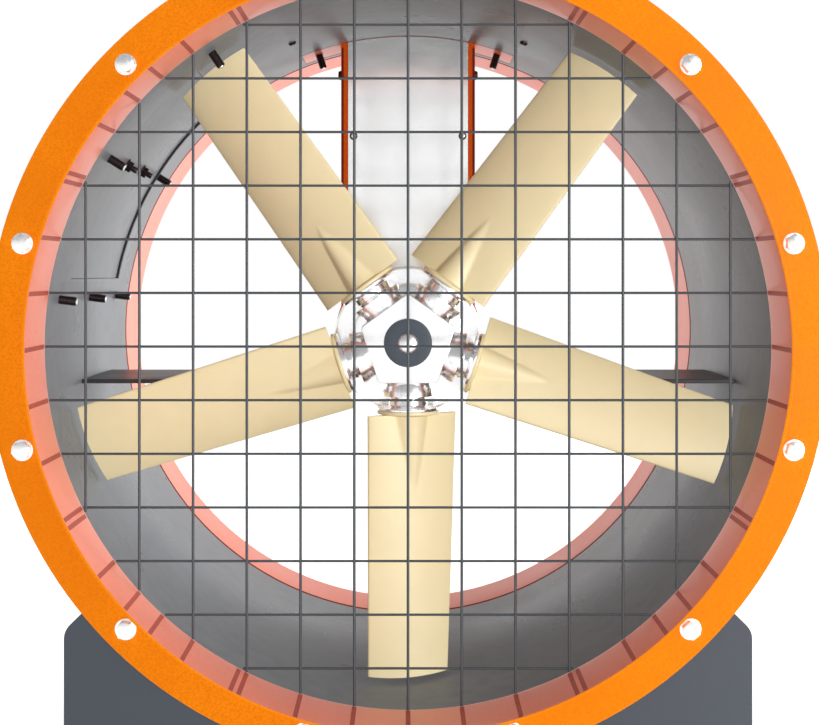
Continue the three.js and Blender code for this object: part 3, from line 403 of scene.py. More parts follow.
class Nodes:
    """A short way to write the node tree of a material or of the world."""

    def __init__(self, owner, shader, place):
        owner.use_nodes = True
        self.owner = owner
        self.tree = owner.node_tree
        self.shader = self.tree.nodes[shader]
        self.place = self.add("ShaderNodeTexCoord").outputs[place]

    def feed(self, node, values):
        """Links other nodes' outputs to a node's sockets, and writes plain values there."""
        for socket, value in values.items():
            if isinstance(value, bpy.types.NodeSocket):
                self.tree.links.new(value, node.inputs[socket])
            else:
                node.inputs[socket].default_value = value

    def add(self, kind, values=None, **settings):
        node = self.tree.nodes.new(kind)
        for key, setting in settings.items():
            setattr(node, key, setting)
        self.feed(node, values or {})
        return node

    def noise(self, scale, detail, stretch=None):
        place = self.place
        if stretch:
            place = self.add("ShaderNodeMapping", {"Vector": place, "Scale": stretch}).outputs["Vector"]
        values = {"Vector": place, "Scale": scale, "Detail": detail}
        return self.add("ShaderNodeTexNoise", values).outputs["Fac"]

    def ranged(self, value, low, high, start=0.3, end=0.7, kind="SMOOTHSTEP"):
        values = {"Value": value, "From Min": start, "From Max": end, "To Min": low, "To Max": high}
        return self.add("ShaderNodeMapRange", values, interpolation_type=kind).outputs["Result"]

    def mixed(self, factor, first, second):
        return self.add("ShaderNodeMix", {0: factor, 6: first, 7: second}, data_type="RGBA").outputs[2]

    def toned(self, factor, colour, variation):
        darker, lighter = shaded(colour, 1 - variation), shaded(colour, 1 + variation)
        return self.mixed(self.ranged(factor, 0, 1), darker, lighter)

    def bump(self, height, strength, distance):
        values = {"Height": height, "Strength": strength, "Distance": distance}
        self.feed(self.shader, {"Normal": self.add("ShaderNodeBump", values).outputs["Normal"]})

    def computed(self, operation, first, second):
        return self.add("ShaderNodeMath", {0: first, 1: second}, operation=operation).outputs[0]

    def seen(self):
        """1 for the camera's rays, and 1 for those that a mirror or glass sends on."""
        path = self.add("ShaderNodeLightPath").outputs
        mirrored_rays = self.computed("MAXIMUM", path["Is Glossy Ray"], path["Is Transmission Ray"])
        return path["Is Camera Ray"], mirrored_rays


def new_material(name):
    return Nodes(bpy.data.materials.new(name), "Principled BSDF", "Object")


def linear(red, green, blue):
    """A colour written as 0 to 255 screen values, as the shader takes it."""
    return (*[(value / 255) ** 2.2 for value in (red, green, blue)], 1)


def shaded(colour, share):
    return (*[min(1.0, channel * share) for channel in colour[:3]], 1)


def coated(name, colour, roughness, grain, grain_height, variation, metallic=0.0, specular=0.5):
    """Paint, plastic or rubber: fine grain in relief, and slow changes of tone and gloss."""
    nodes = new_material(name)
    slow = nodes.noise(9.0, 4.0)
    fine = nodes.noise(grain, 2.0)
    tone = nodes.toned(slow, colour, variation)
    speck = nodes.mixed(nodes.ranged(fine, 0, 1, 0.35, 0.75), tone, shaded(colour, 1 - 2 * variation))
    gloss = nodes.ranged(slow, roughness * 0.88, roughness * 1.12)
    nodes.feed(nodes.shader, {"Base Color": speck, "Roughness": gloss, "Metallic": metallic,
                              "Specular IOR Level": specular})
    if grain_height:
        nodes.bump(fine, 0.5, grain_height)
    return nodes.owner


def metal(name, colour, roughness, stretch_share, grain, variation=0.06, scratch=0.00002):
    """Bare metal whose tool marks are drawn out along Y by a share below 1."""
    nodes = new_material(name)
    marks = nodes.noise(grain, 3.0, (1, stretch_share, 1))
    slow = nodes.noise(25.0, 3.0)
    tone = nodes.toned(slow, colour, variation)
    gloss = nodes.ranged(marks, roughness * 0.8, roughness * 1.25)
    nodes.feed(nodes.shader, {"Base Color": tone, "Roughness": gloss, "Metallic": 1.0})
    if scratch:
        nodes.bump(marks, 0.35, scratch)
    return nodes.owner


# A row is the way to build it, a name and a colour from 0 to 255. A coat goes on with roughness, grain
# scale, grain height in metres, variation, metallic share and specular level. A metal goes on with
# roughness, stretch, grain scale, variation and scratch height in metres.

FINISH_ROWS = {
    "orange": (coated, "orange_powder_coat", (255, 137, 17), 0.55, 520, 0.0003, 0.09, 0, 0.08),
    # Painted shade: orange darkened for the housing's front lip, which lies in shade.
    "orange_painted_shade": (coated, "orange_shaded_edge", (200, 78, 14), 0.5, 700, 0.0001, 0.1, 0, 0.1),
    # Dark seams, and painted shade in the same dark finish along the housing's side edges.
    "seam": (coated, "seam_edge", (112, 30, 8), 0.5, 700, 0, 0.1, 0, 0.1),
    # Painted sheen: pale salmon inside the collars, standing for white reflected at a glancing angle.
    "gloss_coat": (coated, "orange_gloss_coat", (248, 144, 120), 0.34, 300, 0, 0.02, 0, 0.4),
    # Painted shadows: darker streaks of the guard wires on the collars' painted sheen.
    "painted_wire_shadow": (coated, "orange_gloss_heat_mark", (190, 94, 80), 0.4, 300, 0, 0.05, 0, 0.03),
    "casing": (coated, "casing_grey", (126, 130, 134), 0.3, 60, 0, 0.04, 0, 0.1),
    "slate": (coated, "slate_powder_coat", (66, 74, 83), 0.5, 1300, 0.00012, 0.1),
    "wire": (coated, "guard_coating", (70, 77, 82), 0.42, 1500, 0.00008, 0.12),
    "zinc": (metal, "zinc_plate", (250, 250, 252), 0.3, 1, 350, 0.04, 0),
    "black_bolt": (coated, "blackened_steel", (58, 48, 50), 0.3, 900, 0.00003, 0.2, 0.7),
    "rubber": (coated, "black_rubber", (24, 25, 28), 0.55, 1200, 0.00006, 0.15),
    "blade": (coated, "moulded_nylon", (240, 224, 178), 0.42, 40, 0, 0.015),
    "chrome": (metal, "polished_aluminium", (254, 254, 255), 0.2, 1, 60, 0.01, 0),
    "dark_steel": (coated, "dark_coat", (48, 48, 50), 0.4, 1100, 0.00008, 0.1),
    "iron": (coated, "cast_iron_paint", (84, 90, 96), 0.5, 350, 0.00025, 0.12, 0.2),
    "machined": (metal, "machined_iron", (150, 152, 155), 0.3, 0.05, 900),
    "steel": (metal, "ground_steel", (205, 207, 210), 0.22, 0.04, 900),
    "panel": (metal, "panel_sheet", (254, 254, 254), 0.16, 1, 30, 0.01, 0),
    "motor": (coated, "motor_paint", (74, 106, 134), 0.4, 500, 0.00015, 0.08),
    "plastic": (coated, "black_plastic", (34, 36, 40), 0.4, 1000, 0.00006, 0.1),
}
FINISH = {key: build(name, linear(*colour), *values)
          for key, (build, name, colour, *values) in FINISH_ROWS.items()}
SLOTS = {
    "orange": "orange_paint", "casing": "casing_grey", "slate": "slate_paint", "wire": "guard_wire",
    "zinc": "zinc_steel", "rubber": "black_rubber", "blade": "blade_nylon", "chrome": "polished_aluminium",
    "dark_steel": "dark_steel", "iron": "cast_iron", "steel": "bright_steel", "panel": "panel_sheet",
    "motor": "motor_paint", "plastic": "black_plastic",
}


# Pieces


def finish_index(areas, centre):
    """Places on a piece with another finish are (finish, test) pairs: the first test that holds counts."""
    for index, (_, test) in enumerate(areas, 1):
        if test(centre):
            return index
    return 0


def mesh_data(name, mesh):
    """Turns a bmesh in the fan's frame into mesh data in the CAD model's."""
    bmesh.ops.recalc_face_normals(mesh, faces=mesh.faces)
    bmesh.ops.transform(mesh, matrix=CAD_FROM_FAN, verts=mesh.verts)
    data = bpy.data.meshes.new(name)
    mesh.to_mesh(data)
    mesh.free()
    return data


def new_object(name, data):
    thing = bpy.data.objects.new(name, data)
    bpy.context.scene.collection.objects.link(thing)
    return thing


def carved(name, data, cutters):
    """Mesh data with the volume of each cutter taken out of it."""
    body = new_object("body", data)
    tools = [new_object("cutter", mesh_data("cutter", cutter)) for cutter in cutters]
    for tool in tools:
        modifier = body.modifiers.new("cut", "BOOLEAN")
        modifier.operation = "DIFFERENCE"
        modifier.solver = "EXACT"
        modifier.object = tool
    bpy.context.view_layer.update()
    result = bpy.data.meshes.new_from_object(body.evaluated_get(bpy.context.evaluated_depsgraph_get()))
    for thing in [body, *tools]:
        bpy.data.objects.remove(thing)
    result.name = name
    return result


def make(name, mesh, finish, replaces=(), body="casing", cutters=(), bevel=0.0, sharp=35,
         areas=()):
    """Turns a bmesh in the fan's frame into a finished piece that rides on a CAD body."""
    data = mesh_data(name, mesh)
    if cutters:
        data = carved(name, data, cutters)
    for choice in [finish, *[area[0] for area in areas]]:
        data.materials.append(FINISH[choice])
    for face in data.polygons:
        face.use_smooth = True
        face.material_index = finish_index(areas, CAD_FROM_FAN.inverted() @ face.center)
    data.set_sharp_from_angle(angle=math.radians(sharp))
    piece = new_object(name, data)
    if bevel:
        modifier = piece.modifiers.new("edges", "BEVEL")
        modifier.width = bevel * MM
        modifier.segments = 2
        modifier.limit_method = "ANGLE"
        modifier.angle_limit = math.radians(40)
        modifier.harden_normals = True
    if body:
        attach(piece, body)
    if replaces:
        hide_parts(*replaces)
    return piece


def pieces_of(places, build, *settings):
    """One mesh with the same small thing built at many places."""
    mesh = bmesh.new()
    for place in places:
        build(mesh, place, *settings)
    return mesh


# Casing tube, flange rings and guard


def radius_of(point):
    return math.hypot(point.x, point.z)


def bolt_angles():
    return [360 * (index + 0.5) / BOLT_COUNT for index in range(BOLT_COUNT)]


def flange_holes(cutters, low, high):
    hole = 5.8
    for angle in bolt_angles():
        x, z = on_circle(BOLT_CIRCLE, angle)
        rod(cutters, hole, low - OVERRUN, high + OVERRUN, placed(x, 0, z) @ ALONG_Y, 24)


def casing_tube():
    mesh, cutters = bmesh.new(), bmesh.new()
    front, rear = TUBE_FRONT + SHEET, TUBE_REAR - SHEET
    outline = [(BORE, TUBE_FRONT), (FLANGE, TUBE_FRONT), (FLANGE, front), (OUTSIDE, front), (OUTSIDE, rear),
               (FLANGE, rear), (FLANGE, TUBE_REAR), (BORE, TUBE_REAR)]
    turned(mesh, eased(outline), segments=180)
    sector(cutters, BORE - OVERRUN, OUTSIDE + OVERRUN, HATCH_FRONT, HATCH_REAR, HATCH_ANGLE, HATCH_HALF)
    block(cutters, (-SLOT_HALF, SLOT_HALF), (SLOT_FRONT, SLOT_REAR), (BORE / 2, FLANGE))
    flange_holes(cutters, TUBE_FRONT, TUBE_REAR)
    nodes = ["casing_tube", "casing_flange_front", "casing_flange_rear"]
    make("casing_shell", mesh, "casing", nodes, cutters=[cutters])


def flange_ring(name, node, face, back, edge):
    """A flange with its collar. The smooth coat inside the collar is painted pale, a painted sheen."""
    mesh, cutters = bmesh.new(), bmesh.new()
    seam_width = 1.5
    root = face + math.copysign(seam_width, edge - face)
    outline = [(BORE, edge), (OUTSIDE, edge), (OUTSIDE, face), (FLANGE, face), (FLANGE, back), (BORE, back),
               (BORE, root)]
    turned(mesh, eased(outline), segments=180)
    flange_holes(cutters, min(face, back), max(face, back))
    # On the outlet ring a dark seam runs round the bore where the collar starts; the rest of the bore has
    # painted sheen.
    seam = ("seam", lambda centre: radius_of(centre) < BORE + GAP and back < centre.y < root)
    inside = ("gloss_coat", lambda centre: radius_of(centre) < BORE + GAP)
    make(name, mesh, "orange", [node], cutters=[cutters], areas=[seam, inside])


def guard():
    """Round wires in two layers, welded where they cross and to the wall at their ends."""
    low, high = span("inlet_guard", Y)
    wire = (high - low) / 4
    upright_share, level_share = 1.1, 0.98
    wall_gap, pitch, side_wires = 0.5, 46.5, 6
    offsets = [index * pitch for index in range(-side_wires, side_wires + 1)]
    mesh = bmesh.new()
    for offset in offsets:
        reach = math.sqrt((BORE - wall_gap) ** 2 - (abs(offset) + wire) ** 2)
        upright = [(offset, low + wire, -reach), (offset, low + wire, reach)]
        level = [(-reach, high - wire, offset), (reach, high - wire, offset)]
        swept(mesh, upright, wire * upright_share, 16)
        swept(mesh, level, wire * level_share, 16)
    make("guard_wires", mesh, "wire", ["inlet_guard"])
    # Painted shadows of the wire ends: darker streaks on the collar's painted sheen, from the wires to its
    # front edge.
    marks = bmesh.new()
    shadow_half, proud, setback = 0.36, 0.06, 0.8
    for offset in offsets:
        across = math.degrees(math.asin(offset / BORE))
        for angle in (across, 180 - across, 90 - across, 270 + across):
            sector(marks, BORE - proud, BORE + GAP, INLET_EDGE + setback, low + wire, angle, shadow_half, 2)
    make("guard_painted_wire_shadows", marks, "painted_wire_shadow")


def casing():
    casing_tube()
    flange_ring("inlet_ring", "inlet_flange_ring", INLET_FACE, INLET_BACK, INLET_EDGE)
    flange_ring("outlet_ring", "outlet_flange_ring", OUTLET_FACE, OUTLET_BACK, OUTLET_EDGE)
    guard()


# Flange bolts, cradles and feet

CRADLE_HALF = half_width("cradle_front")
SHELF_HALF = 256


def flange_bolt(matrix, face, grip):
    """A hexagon bolt along local Z: its head lies below face and its nut grip above it."""
    thread, tip = FLANGE_THREAD, 2
    top = face + grip + GAP
    mesh = bmesh.new()
    seated(mesh, matrix @ UPSIDE_DOWN, thread, GAP - face)
    seated(mesh, matrix, thread, top, nut=True)
    start = face - thread.washer_height - GAP
    end = top + thread.washer_height + thread.nut + tip
    threaded_end(mesh, thread.radius, start, end, matrix, thread.pitch)
    return mesh


def flange_bolts():
    """Twelve bolts in each flange. The front ones stand for the CAD bolts."""
    turn, beyond_nut = 23, 4
    for index, angle in enumerate(bolt_angles()):
        x, z = on_circle(BOLT_CIRCLE, angle)
        node = f"flange_bolt_{index + 1:02d}"
        grip = span(node, Y)[1] - INLET_FACE - FLANGE_THREAD.nut - beyond_nut - 2 * GAP
        front = placed(x, 0, z) @ ALONG_Y @ Matrix.Rotation(math.radians(turn * index), 4, "Z")
        make(f"front_bolt_{index + 1:02d}", flange_bolt(front, INLET_FACE, grip), "zinc", [node])
        in_cradle = z < CRADLE_TOP and abs(x) < SHELF_HALF
        inner = (CRADLE_REAR if in_cradle else TUBE_REAR) - SHEET
        rear = flange_bolt(placed(x, 0, z) @ TO_FRONT, -OUTLET_FACE, OUTLET_FACE - inner)
        make(f"rear_bolt_{index + 1:02d}", rear, "zinc")


def cradle_outline():
    clearance, shoulder, corner = 1.6, -248, 7.5
    saddle = OUTSIDE + clearance
    edge = math.sqrt(saddle ** 2 - CRADLE_TOP ** 2)
    start = math.degrees(math.atan2(CRADLE_TOP, edge))
    diagonal = Vector((SHELF_HALF - CRADLE_HALF, CRADLE_TOP - shoulder)).normalized()
    turn = Vector((CRADLE_HALF, shoulder))
    bend = bent(turn - Vector((0, corner)), turn, turn + diagonal * corner, 6)
    right = [(CRADLE_HALF, CRADLE_BOTTOM), *bend, (SHELF_HALF, CRADLE_TOP), (edge, CRADLE_TOP)]
    saddle_arc = arc((0, 0), saddle, start, -180 - start, 60)
    return right + saddle_arc[1:-1] + [(-x, z) for x, z in reversed(right)]


def cradle(name, node, face, inwards):
    """A plate with a flange along its foot and one up each side, turned in under the fan."""
    foot_depth, side_depth, side_top = 50, 25, -266
    start = face + inwards * SHEET / 2
    mesh = bmesh.new()
    upright_prism(mesh, cradle_outline(), *sorted((face, face + inwards * SHEET)))
    foot = sorted((start, face + inwards * foot_depth))
    side = sorted((start, face + inwards * side_depth))
    block(mesh, (-CRADLE_HALF, CRADLE_HALF), foot, (CRADLE_BOTTOM, CRADLE_BOTTOM + SHEET))
    for x in (-CRADLE_HALF, CRADLE_HALF - SHEET):
        block(mesh, (x, x + SHEET), side, (CRADLE_BOTTOM, side_top))
    make(name, mesh, "slate", [node], bevel=BEVEL)


def rubber_foot(index):
    node = f"rubber_foot_{index}"
    at = placed(middle_of(node, X), middle_of(node, Y), 0)
    foot_shares = [(0, 0), (0.968, 0), (1, 0.0667), (0.976, 0.2667), (0.904, 0.4667), (0.896, 0.8),
                   (0.864, 1), (0, 1)]
    mesh = bmesh.new()
    turned(mesh, scaled(foot_shares, half_width(node), *span(node, Z)), at, 48)
    make(f"foot_rubber_{index}", mesh, "rubber", [node])
    mesh = bmesh.new()
    floor, wide_washer, stud = CRADLE_BOTTOM + SHEET, 9, 11
    top = floor + M8.washer_height
    washer(mesh, M8.washer_bore, wide_washer, floor, top, at)
    hexagon_part(mesh, M8.across, top, top + M8.nut, at, hole=M8.bore)
    threaded_end(mesh, M8.radius, floor, floor + stud, at, M8.pitch)
    make(f"foot_stud_{index}", mesh, "zinc")


def base():
    cradle("cradle_front_plate", "cradle_front", CRADLE_FRONT, 1)
    cradle("cradle_rear_plate", "cradle_rear", CRADLE_REAR, -1)
    for index in range(1, 5):
        rubber_foot(index)


# Access cover


def wall_bolt(mesh, place, seat):
    """A bolt put through the wall from outside, whose thread shows in the duct."""
    angle, y = place
    radius = 4.2
    seated(mesh, placed(0, y, 0) @ facing(angle), M8, seat)
    threaded_end(mesh, radius, -seat, THREAD_REACH - BORE, inward(angle, y), M8.pitch)


def bright_tip(mesh, place):
    """The bare end of a wall bolt."""
    radius, sunk, proud, ease = 3.1, 1, 0.6, 0.5
    end = THREAD_REACH - BORE
    rod(mesh, radius, end - sunk, end + proud, inward(*place), 20, ease)


def handle_screw(mesh, place):
    sunk, reach = 2, 12
    inside = inward(*place)
    seated(mesh, inside, M6, GAP - BORE)
    threaded_end(mesh, M6.radius, sunk - COVER_OUTER, reach - BORE, inside, M6.pitch)


def cover_sheet():
    """A curved sheet over the opening, with a plug that fills it flush with the wall."""
    front, rear = span("access_cover", Y)
    front_gap, side_gap, overlap = 0.4, 0.08, 1
    half = HATCH_HALF - side_gap
    mesh = bmesh.new()
    sector(mesh, COVER_INNER, COVER_OUTER, front, rear, HATCH_ANGLE, COVER_HALF, 72)
    sector(mesh, BORE, COVER_INNER + overlap, HATCH_FRONT + front_gap, PLUG_REAR, HATCH_ANGLE, half, 60)
    make("cover_sheet", mesh, "casing", ["access_cover"], bevel=FINE_BEVEL)


def cover_gasket():
    """A rubber strip round the plug, which stands out into the duct at the rear."""
    sunk, proud, turn_gap, side_half = 1, 2.2, 0.02, 0.03
    low_gap, front_width, rear_gap = 0.05, 0.3, 0.1
    inner, outer, front = BORE + sunk, OUTSIDE - GAP, HATCH_FRONT + low_gap
    half = HATCH_HALF - turn_gap
    mesh = bmesh.new()
    sector(mesh, BORE - proud, outer, PLUG_REAR + rear_gap, HATCH_REAR - rear_gap, HATCH_ANGLE, half, 60)
    sector(mesh, inner, outer, front, front + front_width, HATCH_ANGLE, half, 60)
    for side in SIDES:
        angle = HATCH_ANGLE + side * (half - turn_gap)
        sector(mesh, inner, outer, front + front_width + low_gap, PLUG_REAR, angle, side_half, 2)
    make("cover_gasket", mesh, "rubber", ["access_gasket"])


def cover_handle(front, rear, grip):
    """A round bar bent into a handle, on two collars."""
    height, rise, bend = COVER_OUTER + GAP, 35, 9
    collar, collar_height, shoulder, ease = 9, 6, 3, 0.8
    reach = height + rise - grip - bend
    corner = [(1 - math.cos(math.radians(a)), math.sin(math.radians(a))) for a in range(0, 91, 15)]
    path = [(0, front, height)]
    path += [(0, front + bend * across, reach + bend * up) for across, up in corner]
    path += [(0, rear - bend * across, reach + bend * up) for across, up in reversed(corner)]
    path += [(0, rear, height)]
    mesh = bmesh.new()
    swept(mesh, path, grip, 24, facing(BOLT_ROW_ANGLE))
    outline = [(0, height), (collar, height), (collar, height + shoulder), (grip, height + collar_height),
               (0, height + collar_height)]
    for y in (front, rear):
        turned(mesh, eased(outline, ease), placed(0, y, 0) @ facing(BOLT_ROW_ANGLE), 32)
    make("cover_handle", mesh, "plastic", ["access_handle"])


def access():
    grip = 5
    front, rear = [y - side * grip for y, side in zip(span("access_handle", Y), SIDES)]
    cover_sheet()
    cover_gasket()
    cover_handle(front, rear, grip)
    beyond, lean, front_row, middle_row, from_edge = 3.9, 0.6, -142, -19, 11
    side_angle, rear_row = HATCH_HALF + beyond, span("access_cover", Y)[1] - from_edge
    edges = (HATCH_ANGLE - side_angle, HATCH_ANGLE + side_angle - lean)
    places = [(angle, y) for angle in edges for y in (front_row, middle_row, rear_row)]
    places += [(BOLT_ROW_ANGLE, y) for y in (front_row, rear_row)]
    make("cover_bolts", pieces_of(places, wall_bolt, COVER_OUTER), "black_bolt")
    make("cover_bolt_tips", pieces_of(places, bright_tip), "steel")
    screws = [(BOLT_ROW_ANGLE, y) for y in (front, rear)]
    make("handle_screws", pieces_of(screws, handle_screw), "black_bolt")


# Bearings


def pillow_block(index, node):
    """A foot with rounded corners, a web and a round housing with a boss for its grease nipple."""
    middle = middle_of(node, Y)
    half, depth = half_width(node), span(node, Y)[1] - middle
    floor, crown = span(node, Z)
    centre = placed(0, middle, 0)
    corner, foot_height, foot_ease = 12, 16, 1.0
    mesh = bmesh.new()
    outline = []
    for x, y, start in ((1, 1, 0), (-1, 1, 90), (-1, -1, 180), (1, -1, 270)):
        outline += arc((x * (half - corner), y * (depth - corner)), corner, start, start + 90, 6)
    prism(mesh, outline, floor, floor + foot_height, centre)
    seat, bulge, chamfer, ease = 28, 19, 4, 1.5
    hump = [(crown - chamfer, -bulge), (crown, chamfer - bulge), (crown, bulge - chamfer),
            (crown - chamfer, bulge), (seat, bulge), (seat, -bulge)]
    turned(mesh, eased(hump, ease), centre @ ALONG_Y, 72)
    web_foot, web_waist, web_top, web_half = 44, 36, 30, 13
    web_start, waist_height, top_height = floor + foot_height / 2, -10, 8
    web = mirrored([(web_foot, web_start), (web_waist, waist_height), (web_top, top_height)])
    upright_prism(mesh, web, middle - web_half, middle + web_half)
    boss, boss_start, boss_top, boss_ease = 5.5, 34, 40.5, 0.5
    rod(mesh, boss, boss_start, boss_top, centre, 24, boss_ease)
    make(f"bearing_housing_{index}", mesh, "iron", [node], bevel=foot_ease)
    bearing_insert(index, centre, boss_top)
    bearing_bolts(index, middle, floor + foot_height)


def bearing_insert(index, centre, boss_top):
    bore, inner, outer = 15.4, 20, 27.6
    front, half, rear, ease = -16, 11, 22, 0.8
    nipple, nipple_height = 2.6, 5.5
    race = [(bore, front), (inner, front), (inner, -half), (outer, -half), (outer, half), (inner, half),
            (inner, rear), (bore, rear)]
    mesh = bmesh.new()
    turned(mesh, eased(race, ease), centre @ ALONG_Y, 72)
    rod(mesh, nipple, boss_top, boss_top + nipple_height, centre, 20, ease)
    make(f"bearing_insert_{index}", mesh, "steel")


def bearing_bolts(index, middle, seat):
    spacing, sunk, reach = 62, 4, 18
    mesh = bmesh.new()
    for side in SIDES:
        at = placed(side * spacing, middle, 0)
        seated(mesh, at, M12, seat, nut=True)
        threaded_end(mesh, M12.radius, seat - sunk, seat + reach, at, M12.pitch)
        seated(mesh, at @ UPSIDE_DOWN, M12, -PLATE_BOTTOM)
    make(f"bearing_bolts_{index}", mesh, "zinc")


def bearings():
    """A flat plate whose ends reach almost to the wall, with two pillow blocks on it."""
    wall_gap, bevel = 0.6, 0.6
    half = math.sqrt((BORE - wall_gap) ** 2 - PLATE_BOTTOM ** 2)
    mesh = bmesh.new()
    block(mesh, (-half, half), span("bearing_plate", Y), span("bearing_plate", Z))
    make("plate_sheet", mesh, "dark_steel", ["bearing_plate"], bevel=bevel)
    pillow_block(1, "pillow_block_front")
    pillow_block(2, "pillow_block_rear")


# Hub and shaft


def pentagon(apothem, corner):
    """A pentagon with a flat towards each blade and its corners cut back to a distance from the axis."""
    half = math.degrees(math.acos(apothem / corner))
    return [on_circle(corner, angle + side * half) for angle in BLADE_ANGLES for side in SIDES]


def hub_halves():
    """The front half is a pentagon. The rear half carries the disc that is seen between the blades."""
    apothem = -span("hub_front_half", Z)[0]
    corner_share, bevel = 1.2, 1.2
    mesh = bmesh.new()
    upright_prism(mesh, pentagon(apothem, apothem * corner_share), *span("hub_front_half", Y))
    make("hub_front", mesh, "chrome", ["hub_front_half"], "impeller", bevel=bevel)
    front, rear = span("hub_rear_half", Y)
    bore, body, disc, boss = 15.3, 52, 70, 28
    body_depth, disc_depth, ease, flat = 29, 6, 1.2, 2
    step = front + body_depth
    back = step + disc_depth
    outline = eased([(bore, front), (body, front), (body, step), (disc, step), (disc, back), (boss, back),
                     (boss, rear), (bore, rear)], ease)
    edges = [point for point in outline if abs(point[1] - step) < TINY]
    first = outline.index(edges[0]) + 1
    outline[first:first] = [(edges[0][0] + flat, step), (edges[1][0] - flat, step)]
    mesh = bmesh.new()
    turned(mesh, outline, segments=128)
    make("hub_rear", mesh, "chrome", ["hub_rear_half"], "impeller")


def hub_fastening():
    low, high = span("hub_washer", Y)
    radius, hole, ease = half_width("hub_washer"), 6.4, 0.5
    mesh = bmesh.new()
    turned(mesh, eased(rectangle(hole, radius, low, high), ease))
    make("hub_washer_disc", mesh, "slate", ["hub_washer"], "impeller")
    top, head = span("hub_bolt", Y)[0], half_width("hub_bolt")
    dome, shank, length = 3.4, 6, 26
    turns = [math.radians(angle) for angle in range(0, 91, 9)]
    crown = [(head * math.sin(turn), top + dome * (1 - math.cos(turn))) for turn in turns]
    mesh = bmesh.new()
    turned(mesh, crown + [(head, low), (shank, low), (shank, low + length), (0, low + length)], segments=64)
    make("hub_bolt_head", mesh, "zinc", ["hub_bolt"], "impeller")


def shaft():
    front, rear = span("fan_shaft", Y)
    radius, hole, hole_depth, ease = half_width("fan_shaft"), 6.6, 30, 0.8
    outline = [(hole, front), (radius, front), (radius, rear), (0, rear), (0, front + hole_depth),
               (hole, front + hole_depth)]
    mesh = bmesh.new()
    turned(mesh, eased(outline, ease), segments=64)
    make("shaft", mesh, "steel", ["fan_shaft"], "impeller")


# Blades: pairs hold a size at the root and at the tip, in millimetres or degrees

FOOT_RADIUS = half_width("blade_foot_4")
FOOT_START, FOOT_END = 36, 63.2
DISC_START, DISC_END = 63.5, 68.4
FOOT_SHARES = [(0, 0), (0.7509, 0), (0.8491, 0.5147), (0.5965, 0.5294), (0.5895, 0.6029), (0.6316, 0.625),
               (0.6316, 0.8309), (0.7193, 0.8824), (0.9965, 0.9118), (1, 1), (0, 1)]
DISC_SHARES = [(0, 0), (1, 0), (1, 0.5918), (0.9298, 0.7143), (0.6667, 1), (0, 1)]
BLADE_ROOT, BLADE_TIP = 67.3, 310
BLADE_PITCH = (28, 18)
LEADING = 37
TRAILING = (44.7, 37)
THICKNESS = (9, 5)
CAMBER_SHARE, FLAT_SHARE, NOSE_SHARE = 0.06, 0.25, 0.014
RIB_END, RIB_RADIUS, RIB_LEAN = 134, (18, 4), (-4.7, -3.5)
RIB_SKIRT, SKIRT_SLOPE = 9, 2.5
RIB_BLEND, EDGE_BLEND, BLEND_SHARE = 5, 0.6, 0.4


def blended(first, second, reach):
    """The lower of two heights, rounded where they cross."""
    share = max(0.0, min(1.0, (1 + (second - first) / reach) / 2))
    return mix(second, first, share) - reach * share * (1 - share)


def rib_height(from_rib, rib):
    """A round rib, and beyond its edge a slope that lies under the blade's surface."""
    if from_rib < rib:
        return math.sqrt(rib * rib - from_rib * from_rib)
    return (rib - from_rib) * SKIRT_SLOPE


def blade_ring(share):
    """One section of the blade as a ring of points: along the inlet side, then back along the other side."""
    steps = 96
    height = mix(BLADE_ROOT, BLADE_TIP, share)
    pitch = math.radians(mix(*BLADE_PITCH, share))
    cosine, sine = math.cos(pitch), math.sin(pitch)
    leading = LEADING / cosine
    chord = leading + mix(*TRAILING, share) / cosine
    thickness = mix(*THICKNESS, share)
    rib_share = (height - BLADE_ROOT) / (RIB_END - BLADE_ROOT)
    rib = mix(*RIB_RADIUS, rib_share) if rib_share < 1 else 0.0
    lean_x, lean_y = [lean * rib_share for lean in RIB_LEAN]
    rib_u = lean_x * cosine - lean_y * sine
    rib_v = lean_x * sine + lean_y * cosine
    rings = {side: [] for side in SIDES}
    for side in SIDES:
        for step in range(steps + 1):
            along = (1 - math.cos(math.pi * step / steps)) / 2
            u = leading - along * chord
            arch = 4 * along * (1 - along)
            nose = min(1.0, min(along, 1 - along) / NOSE_SHARE)
            body = mix(FLAT_SHARE, 1, math.sqrt(arch)) * math.sqrt(max(0.0, 1 - (1 - nose) ** 2))
            v = side * thickness * body / 2 - CAMBER_SHARE * chord * arch
            from_rib = abs(u - rib_u)
            if rib > 1 and from_rib < rib + RIB_SKIRT:
                soft = min(RIB_BLEND if u > rib_u else EDGE_BLEND, rib * BLEND_SHARE)
                v = side * -blended(-side * v, -rib_height(from_rib, rib) - side * rib_v, soft)
            x, y = u * cosine + v * sine, v * cosine - u * sine
            circle = math.sqrt(height * height - x * x)
            rings[side].append((x, y, mix(height, circle, share)))
    return rings[-1] + rings[1][-2:0:-1]


def blade(mesh, matrix):
    """The sections lie closer together near the root, where the rib is."""
    sections, crowding = 60, 1.25
    shares = [(step / sections) ** crowding for step in range(sections + 1)]
    rings = [ring(mesh, blade_ring(share), matrix) for share in shares]
    skin(mesh, rings)
    for end in (rings[0], rings[-1]):
        for step in range(len(end) // 2):
            corners = [end[step], end[step + 1], end[-step - 1], end[-step]]
            mesh.faces.new(list(dict.fromkeys(corners)))
    disc_ease = 0.6
    turned(mesh, eased(scaled(DISC_SHARES, FOOT_RADIUS, DISC_START, DISC_END), disc_ease), matrix, 72)


